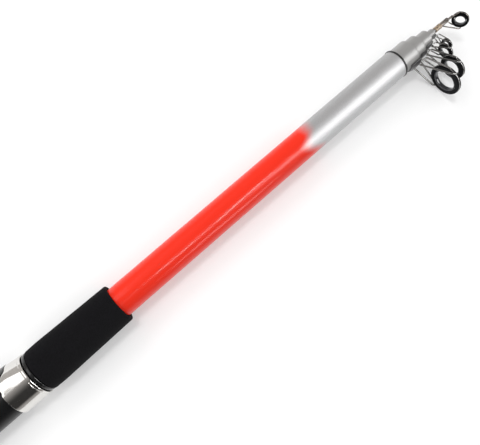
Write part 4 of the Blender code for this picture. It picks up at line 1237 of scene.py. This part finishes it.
class ROD_OT_grips(bpy.types.Operator):
    """Build the foregrip and the rear grip of black foam"""
    bl_idname = "rod.grips"
    bl_label = "Foam grips"

    def execute(self, context):
        settings = context.scene.rod_handle
        bore = context.scene.rod_blank.radius + GAP
        full = settings.grip_radius
        front = settings.foregrip_front_radius
        outlines = {
            "foregrip": [
                (FOREGRIP_START, full - FOREGRIP_REAR_STEP, 0.6 * MM), (FOREGRIP_FULL_START, full, 0),
                (FOREGRIP_END, front, 1.0 * MM), (FOREGRIP_END, bore, 0.4 * MM), (FOREGRIP_START, bore, 0),
            ],
            "rear_grip": [
                (REAR_GRIP_START, REAR_GRIP_START_RADIUS, 1.5 * MM), (REAR_GRIP_FULL_START, full, 0),
                (REAR_GRIP_FULL_END, full, 0), (REAR_GRIP_END, REAR_GRIP_END_RADIUS, 2.0 * MM),
                (REAR_GRIP_END, bore, 0), (REAR_GRIP_START, bore, 0),
            ],
        }
        for node, corners in outlines.items():
            outline = divided(rounded(corners, 10), 3 * MM)
            sleeve = add_piece(node + "_foam_sleeve", turned_mesh(outline, WIDE_SIDES),
                               grip_foam(settings, node + "_foam"), "handle", (node,), sharp=50)
        return {"FINISHED"}


class ROD_OT_reel_seat(bpy.types.Operator):
    """Build the threaded reel seat with its flat bed"""
    bl_idname = "rod.reel_seat"
    bl_label = "Reel seat"

    def execute(self, context):
        settings = context.scene.rod_handle
        edge = math.acos(SEAT_BED / SEAT_RADIUS)
        angles = [edge * i / 8 for i in range(-8, 9)]
        angles += [edge + (math.tau - 2 * edge) * i / 120 for i in range(1, 120)]
        rows = round((THREAD_END - THREAD_START) / settings.thread_pitch * THREAD_ROWS_PER_TURN)
        end = SEAT_END - GAP

        def outside(x, cut=0.0):
            def level(angle):
                radius = SEAT_RADIUS
                if THREAD_START <= x <= THREAD_END:
                    radius = seat_thread_radius(x, angle, settings.thread_pitch)
                bed = SEAT_BED if BED_START <= x <= BED_END else SEAT_BED - BED_STEP
                return x, on_bed(radius, angle, bed) - cut
            return level

        levels = [outside(SEAT_START, SEAT_BEVEL), outside(SEAT_START + SEAT_BEVEL)]
        levels += [outside(THREAD_START + (THREAD_END - THREAD_START) * i / rows) for i in range(rows + 1)]
        levels.append(outside(BED_START - BED_STEP))
        levels += [outside(BED_START + (BED_END - BED_START) * i / 12) for i in range(13)]
        levels += [outside(BED_END + BED_STEP), outside(end - SEAT_BEVEL), outside(end, SEAT_BEVEL)]
        bores = [lambda angle: (SEAT_START, SEAT_BORE), lambda angle: (end, SEAT_BORE)]
        add_piece("threaded_seat", shell_mesh(angles, levels, bores), moulded_black(settings, "seat_black"),
                  "handle", ("reel_seat_body",), sharp=30)
        return {"FINISHED"}


class ROD_OT_front_hood(bpy.types.Operator):
    """Build the fixed hood in front of the reel's foot"""
    bl_idname = "rod.front_hood"
    bl_label = "Front hood"

    def execute(self, context):
        build_hood("front", FRONT_HOOD_MOUTH, 1, "handle", context.scene.rod_handle)
        return {"FINISHED"}


class ROD_OT_sliding_hood(bpy.types.Operator):
    """Build the hood that slides on the seat"""
    bl_idname = "rod.sliding_hood"
    bl_label = "Sliding hood"

    def execute(self, context):
        build_hood("sliding", SLIDING_HOOD_MOUTH, -1, "sliding_hood", context.scene.rod_handle)
        return {"FINISHED"}


class ROD_OT_nut(bpy.types.Operator):
    """Build the fluted locking nut"""
    bl_idname = "rod.locking_nut"
    bl_label = "Locking nut"

    def execute(self, context):
        settings = context.scene.rod_handle
        end = NUT_START + NUT_LENGTH
        outline = divided(rounded([
            (NUT_START, NUT_RADIUS, 0.6 * MM), (end, NUT_RADIUS, 0.6 * MM), (end, HOOD_BORE, 0.3 * MM),
            (NUT_START, HOOD_BORE, 0.3 * MM),
        ], 6), 0.5 * MM)

        def relief(x, r, angle):
            if r < NUT_RADIUS - 0.5 * MM:
                return 0.0
            ends = min(x - NUT_START - NUT_FLUTE_MARGIN, end - NUT_FLUTE_MARGIN - x) / NUT_FLUTE_FADE
            return -NUT_FLUTE_DEPTH * flute(angle, settings.nut_flutes) * eased(ends)

        nut = turned_mesh(outline, settings.nut_flutes * NUT_SIDES_PER_FLUTE, relief)
        add_piece("fluted_nut", nut, moulded_black(settings, "nut_black", 0.34), "nut", ("locking_nut",),
                  sharp=50)
        return {"FINISHED"}


class ROD_OT_butt_cap(bpy.types.Operator):
    """Build the ferrule, the threaded plug, its seal, its rubber pad and its cushion"""
    bl_idname = "rod.butt_cap"
    bl_label = "Butt cap"

    def execute(self, context):
        settings = context.scene.rod_handle
        ferrule = turned_mesh(rounded([
            (FERRULE_START, FERRULE_RADIUS, EDGE), (FERRULE_END, FERRULE_RADIUS, 0.5 * MM),
            (FERRULE_END, FERRULE_BORE, EDGE), (FERRULE_START, FERRULE_BORE, 0.3 * MM),
        ], 4), RING_SIDES)
        add_piece("threaded_ferrule", ferrule, turned_metal("ferrule_metal", settings.ferrule_metal, 0.28),
                  "handle", ("butt_ferrule",))

        seal = turned_mesh(rounded([
            (SEAL_START, SEAL_RADIUS, 0.55 * MM), (SEAL_END, SEAL_RADIUS, 0.55 * MM),
            (SEAL_END, SEAL_BORE, 0.55 * MM), (SEAL_START, SEAL_BORE, 0.55 * MM),
        ]), RING_SIDES)
        add_piece("rubber_seal", seal, grip_rubber(settings, "seal_rubber"), "seal", ("plug_seal",))

        def relief(x, r, angle):
            if abs(r - PLUG_THREAD_RADIUS) < CLOSE and x > PLUG_THREAD_START:
                ends = min(x - PLUG_THREAD_START, PLUG_THREAD_END - PLUG_THREAD_BEVEL - x) / PLUG_THREAD_FADE
                groove = thread_groove(x, PLUG_THREAD_START, angle, PLUG_THREAD_PITCH)
                return -PLUG_THREAD_DEPTH * groove * max(0.0, min(1.0, ends))
            if abs(r - COLLAR_RADIUS) < CLOSE and KNURL_START < x < KNURL_END:
                return -KNURL_DEPTH * (0.5 + 0.5 * math.cos(angle * KNURL_COUNT))
            return 0.0

        groove = [(x, radius, 0.3 * MM) for x, radius in zip(COLLAR_GROOVE, (
            COLLAR_RADIUS, COLLAR_GROOVE_RADIUS, COLLAR_GROOVE_RADIUS, COLLAR_RADIUS))]
        outline = rounded([(COLLAR_START, 0.0, 0), (COLLAR_START, COLLAR_RADIUS, 0.4 * MM)] + groove + [
            (KNURL_START, COLLAR_RADIUS, 0), (KNURL_END, COLLAR_RADIUS, 0),
            (CAP_END, COLLAR_RADIUS, 0.4 * MM), (CAP_END, PLUG_THREAD_RADIUS, 0),
            (PLUG_THREAD_START, PLUG_THREAD_RADIUS, 0),
            (PLUG_THREAD_END, PLUG_THREAD_RADIUS, 0.5 * MM), (PLUG_THREAD_END, PLUG_SPIGOT_RADIUS, 0),
            (PLUG_SPIGOT_END, PLUG_SPIGOT_RADIUS, 0.4 * MM), (PLUG_SPIGOT_END, 0.0, 0),
        ], 4)
        plug = turned_mesh(divided(outline, 0.19 * MM, closed=False), PLUG_SIDES, relief)
        add_piece("threaded_plug", plug, turned_metal("plug_metal", settings.plug_metal, 0.3), "plug",
                  ("butt_plug",))

        face = [(0.0, 0.0, 0)]
        for radius in PAD_GROOVES:
            face += [(0.0, radius - 0.5 * MM, 0.2 * MM), (PAD_GROOVE_DEPTH, radius - 0.25 * MM, 0.1 * MM),
                     (PAD_GROOVE_DEPTH, radius + 0.25 * MM, 0.1 * MM), (0.0, radius + 0.5 * MM, 0.2 * MM)]
        pad = turned_mesh(rounded(face + [
            (0.0, CAP_RADIUS - PAD_BULGE, 1.4 * MM), (PAD_END, CAP_RADIUS, 0.4 * MM), (PAD_END, 0.0, 0),
        ], 8), WIDE_SIDES)
        add_piece("rubber_pad", pad, grip_rubber(settings, "pad_rubber"), "plug", ("butt_pad",))

        cushion = turned_mesh(rounded([
            (CUSHION_START, 0.0, 0), (CUSHION_START, PLUG_SPIGOT_RADIUS, 0.6 * MM),
            (CUSHION_END, PLUG_SPIGOT_RADIUS, 1.2 * MM), (CUSHION_END, 0.0, 0),
        ], 8), RING_SIDES)
        disc = add_piece("plug_foam_disc", cushion, grip_foam(settings, "cushion_foam"), "plug",
                         ("plug_cushion",), sharp=50)
        return {"FINISHED"}


class ROD_OT_sections(bpy.types.Operator):
    """Build the sliding sections and the varnished windings at their tips"""
    bl_idname = "rod.sections"
    bl_label = "Sections"

    def execute(self, context):
        settings = context.scene.rod_blank
        thread = context.scene.rod_guides.thread
        start = MUZZLE_RING_END + GAP
        for section, guide in zip(SECTIONS, GUIDES):
            number = section["number"]
            end, base, tip, bore, winding = (
                section[key] * MM for key in ("end", "base", "tip", "bore", "winding"))
            tube = divided(rounded([
                (SECTION_BASE, base, EDGE), (end, tip, EDGE), (end, bore, 0.15 * MM),
                (SECTION_BASE, base - (tip - bore), 0.1 * MM),
            ], 4), 15 * MM)
            add_piece("section_%d_tube" % number, turned_mesh(tube, RING_SIDES),
                      section_paint(settings, number), "section_%d" % number,
                      ("section_%d_blank" % number,))
            inside = tip + GAP
            front = end - WINDING_SETBACK
            collar = divided(rounded([
                (start, winding, 0.12 * MM), (front, winding, 0.8 * (winding - inside)),
                (front, inside, 0), (start, inside, 0),
            ], 10), 0.8 * MM)
            add_piece("section_%d_collar" % number, turned_mesh(collar, WIDE_SIDES),
                      winding_varnish(settings, thread, number), "guide_%d" % guide["number"],
                      ("section_%d_winding" % number,), GUIDE_SIDE)
            start = end + GAP
        tip = divided(rounded([
            (SECTION_BASE, 0.0, 0), (SECTION_BASE, TIP_BASE_RADIUS, 0.3 * MM),
            (TIP_WRAP_START, TIP_BASE_RADIUS, 0), (TIP_TUBE_START, TIP_END_RADIUS, 0),
            (TIP_BLANK_END, TIP_END_RADIUS, 0.25 * MM), (TIP_BLANK_END, 0.0, 0),
        ], 4), 15 * MM, closed=False)
        add_piece("section_6_rod", turned_mesh(tip, THIN_SIDES), section_paint(settings, 6), "section_6",
                  ("section_6_blank",))
        return {"FINISHED"}


class ROD_OT_guides(bpy.types.Operator):
    """Build the four standing line guides"""
    bl_idname = "rod.guides"
    bl_label = "Line guides"

    def execute(self, context):
        settings = context.scene.rod_guides
        for section, guide in zip(SECTIONS, GUIDES):
            kind = "guide_%d" % guide["number"]
            winding = section["winding"] * MM
            add_piece(kind + "_foot_wrap", binding_mesh(guide, winding),
                      black_binding(settings, kind + "_thread"), kind, (kind + "_binding",),
                      GUIDE_SIDE, sharp=50)
            ring_x, offset, radius, sit, half = (
                guide[key] * MM for key in ("ring_x", "offset", "ring", "sit", "half"))
            wire = guide["wire"] * MM * settings.wire_scale
            place = ring_place(ring_x, offset)
            build_ring(kind, guide, GUIDE_SIDE @ place, kind, settings)

            hold = radius - sit
            clear = radius + wire + WIRE_CLEARANCE
            top = winding + GAP + guide["thick"] * MM
            spread = FOOT_SPREAD * winding
            foot = math.sqrt((top + GAP + FOOT_LIFT * wire) ** 2 - spread ** 2)
            toe_spread = TOE_SPREAD * winding
            toe = math.sqrt((top - TOE_DEPTH) ** 2 - toe_spread ** 2)
            front = guide["binding"][1] * MM + GAP
            centre = Vector((ring_x, -offset, 0))
            meshes = [hoop_mesh(guide, place, wire, RING_SIDES)]
            for side in (1, -1):
                swing = Vector((ring_x - half - wire, -offset + SWING_SHARE * radius, side * clear))
                leg = bent_path([(guide["rear"] * MM, -foot, side * spread), swing,
                                 (ring_x, -offset, side * clear), (ring_x, -offset, side * hold)], REAR_BEND)
                meshes.append(wire_mesh(leg, wire, round_start=True))
                grip = Vector(around(0, 1, side * FRONT_WIRE_GRIP))
                leg = bent_path([(front, -toe, side * toe_spread), (guide["bend"] * MM, -toe, side * spread),
                                 centre + grip * clear, centre + grip * hold], FRONT_BEND)
                meshes.append(wire_mesh(leg, wire))
            add_piece(kind + "_wire_frame", joined(meshes), bright_wire(settings), kind, (kind + "_frame",),
                      GUIDE_SIDE, sharp=50)
        return {"FINISHED"}


class ROD_OT_tip_top(bpy.types.Operator):
    """Build the wrap, the tube, the struts and the ring of the tip-top"""
    bl_idname = "rod.tip_top"
    bl_label = "Tip-top"

    def execute(self, context):
        settings = context.scene.rod_guides
        wrap_end = TIP_TUBE_START - GAP
        wrap_bore = TIP_BASE_RADIUS + GAP
        wrap = turned_mesh(divided(rounded([
            (TIP_WRAP_START, TIP_WRAP_RADIUS - 0.1 * MM, 0.5 * MM), (wrap_end, TIP_WRAP_RADIUS, 0.5 * MM),
            (wrap_end, wrap_bore, 0), (TIP_WRAP_START, wrap_bore, 0),
        ], 8), 0.6 * MM), WRAP_SIDES)
        add_piece("tip_thread_wrap", wrap, bronze_wrap(settings), "tip_top", ("tip_wrap",),
                  TIP_SIDE)

        radius, half, sit = (TIP_RING[key] * MM for key in ("ring", "half", "sit"))
        wire = TIP_RING["wire"] * MM * settings.wire_scale
        place = ring_place(TIP_RING["x"] * MM, TIP_RING["offset"] * MM, TIP_RING_LEAN)
        build_ring("tip_top", TIP_RING, TIP_SIDE @ place, "tip_top", settings)

        bore = TIP_END_RADIUS + 0.25 * MM
        tube = mesh_of(turned_mesh(rounded([
            (TIP_TUBE_START, TIP_TUBE_RADIUS, 0.15 * MM), (TIP_TUBE_END, TIP_TUBE_RADIUS, 0.35 * MM),
            (TIP_TUBE_END, bore, 0.08 * MM), (TIP_TUBE_START, bore, 0),
        ], 4), THIN_SIDES))
        hold = radius - sit
        clear = radius + wire + WIRE_CLEARANCE
        meshes = [tube, hoop_mesh(TIP_RING, place, wire, WRAP_SIDES)]
        for side in (1, -1):
            low = Vector(around(0, 1, side * TIP_STRUT_GRIP))
            high = Vector((0, 0, side))
            foot = (-TIP_STRUT_FOOT, side * TIP_STRUT_SIDE)
            swing = high * clear + Vector((-half - wire, TIP_SWING_SHARE * clear, 0))
            meshes.append(wire_mesh(bent_path(
                [(TIP_STRUT_END, *foot), place @ (low * clear), place @ (low * hold)], STRUT_BEND), wire))
            meshes.append(wire_mesh(bent_path(
                [(TIP_STRUT_START, *foot), place @ swing, place @ (high * clear), place @ (high * hold)],
                REAR_BEND), wire))
        add_piece("tip_top_wire_frame", joined(meshes), tip_steel(settings), "tip_top", ("tip_top_frame",),
                  TIP_SIDE, sharp=50)
        return {"FINISHED"}


def aimed(place, right, up, forward):
    """A lamp's or camera's place, from a point and its own directions."""
    return Matrix.Translation(place) @ Matrix((right, up, -forward)).transposed().to_4x4()


def add_lamp(lamp, level):
    """An area lamp from one point to another, that faces a third. level is how bright its face is."""
    start, end, target = (AXIS + Vector(lamp[key]) for key in ("start", "end", "target"))
    data = bpy.data.lights.new(lamp["name"], "AREA")
    data.shape = "RECTANGLE"
    data.size = (end - start).length
    data.size_y = lamp["width"]
    data.energy = level * math.pi * data.size * data.size_y
    made = placed(lamp["name"], data)
    place = (start + end) / 2
    forward = (target - place).normalized()
    side = (end - start).normalized()
    side = (side - forward * side.dot(forward)).normalized()
    made.matrix_world = aimed(place, side, (-forward).cross(side), forward)
    made.visible_diffuse = lamp["hidden"] != "diffuse"
    made.visible_glossy = lamp["hidden"] != "glossy"


def light_room(world, settings):
    """White for the camera and through glass, a room for metal to mirror, and daylight all round."""
    world.use_nodes = True
    nodes = Nodes(world.node_tree)
    ray = nodes.add("ShaderNodeLightPath").outputs
    direction = nodes.parts(nodes.add("ShaderNodeTexCoord").outputs["Generated"])
    turn = nodes.math("ARCTAN2", direction["Z"], direction["Y"])
    room = nodes.add("ShaderNodeValToRGB")
    nodes.link(nodes.math("DIVIDE", turn, math.pi), room.inputs["Fac"])
    steps = room.color_ramp.elements
    steps.remove(steps[1])
    for angle, level in ROOM:
        step = steps.new(angle / 180) if angle > 0 else steps[0]
        step.color = tuple(level * c for c in settings.ceiling) + (1,)
    slope = nodes.spread(direction["Y"], -1, 1, settings.daylight - settings.daylight_tilt,
                         settings.daylight + settings.daylight_tilt)
    lit = nodes.mixed(ray["Is Glossy Ray"], slope, room.outputs["Color"])
    clear = nodes.math("MAXIMUM", ray["Is Camera Ray"], ray["Is Transmission Ray"])
    background = nodes.add("ShaderNodeBackground")
    nodes.link(nodes.mixed(clear, lit, (1, 1, 1)), background.inputs["Color"])
    output = nodes.add("ShaderNodeOutputWorld")
    nodes.link(background.outputs["Background"], output.inputs["Surface"])


class ROD_OT_stage(bpy.types.Operator):
    """Set the floor, the light and the camera"""
    bl_idname = "rod.stage"
    bl_label = "Stage"

    def execute(self, context):
        scene = context.scene
        settings = scene.rod_stage

        bm = bmesh.new()
        bmesh.ops.create_circle(bm, cap_ends=True, radius=FLOOR_RADIUS, segments=64)
        mesh = bpy.data.meshes.new("floor")
        bm.to_mesh(mesh)
        bm.free()
        look = Finish("floor_white", settings.floor, 0.9)
        look.shader.inputs["Specular IOR Level"].default_value = 0.0
        look.glow(settings.floor_glow)
        mesh.materials.append(look.material)
        floor = placed("floor", mesh)

        scene.world = scene.world or bpy.data.worlds.new("daylight")
        light_room(scene.world, settings)
        for lamp in LAMPS:
            add_lamp(lamp, getattr(settings, lamp["level"]))

        data = bpy.data.cameras.new("camera")
        data.sensor_width = SENSOR_WIDTH
        data.lens = settings.lens
        data.clip_start = 0.01
        camera = placed("camera", data)
        camera.matrix_world = aimed(AXIS + Vector(settings.camera), CAMERA_RIGHT, CAMERA_UP, CAMERA_FORWARD)
        scene.camera = camera
        scene.view_settings.view_transform = "Standard"
        return {"FINISHED"}


GROUPS = {
    "rod_blank": RodBlankSettings,
    "rod_handle": RodHandleSettings,
    "rod_guides": RodGuideSettings,
    "rod_stage": RodStageSettings,
}
PIECES = ("blank", "trim_rings", "grips", "reel_seat", "front_hood", "sliding_hood", "locking_nut",
          "butt_cap", "sections", "guides", "tip_top", "stage")


class ROD_PT_panel(bpy.types.Panel):
    """The rod's sizes, colours and pieces"""
    bl_idname = "ROD_PT_panel"
    bl_label = "Telescopic rod"
    bl_space_type = "VIEW_3D"
    bl_region_type = "UI"
    bl_category = "Rod"

    def draw(self, context):
        for group, kind in GROUPS.items():
            box = self.layout.box()
            box.label(text=group.replace("rod_", "").capitalize())
            for key in kind.__annotations__:
                box.prop(getattr(context.scene, group), key)
        column = self.layout.column(align=True)
        for piece in PIECES:
            column.operator("rod." + piece)


CLASSES = (*GROUPS.values(), ROD_OT_blank, ROD_OT_trim_rings, ROD_OT_grips, ROD_OT_reel_seat,
           ROD_OT_front_hood, ROD_OT_sliding_hood, ROD_OT_nut, ROD_OT_butt_cap, ROD_OT_sections,
           ROD_OT_guides, ROD_OT_tip_top, ROD_OT_stage, ROD_PT_panel)


def register():
    for kind in CLASSES:
        bpy.utils.register_class(kind)
    for group, kind in GROUPS.items():
        setattr(bpy.types.Scene, group, PointerProperty(type=kind))


def unregister():
    for group in GROUPS:
        delattr(bpy.types.Scene, group)
    for kind in reversed(CLASSES):
        bpy.utils.unregister_class(kind)


def main():
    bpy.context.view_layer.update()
    register()
    for piece in PIECES:
        getattr(bpy.ops.rod, piece)()


if __name__ == "__main__":
    main()
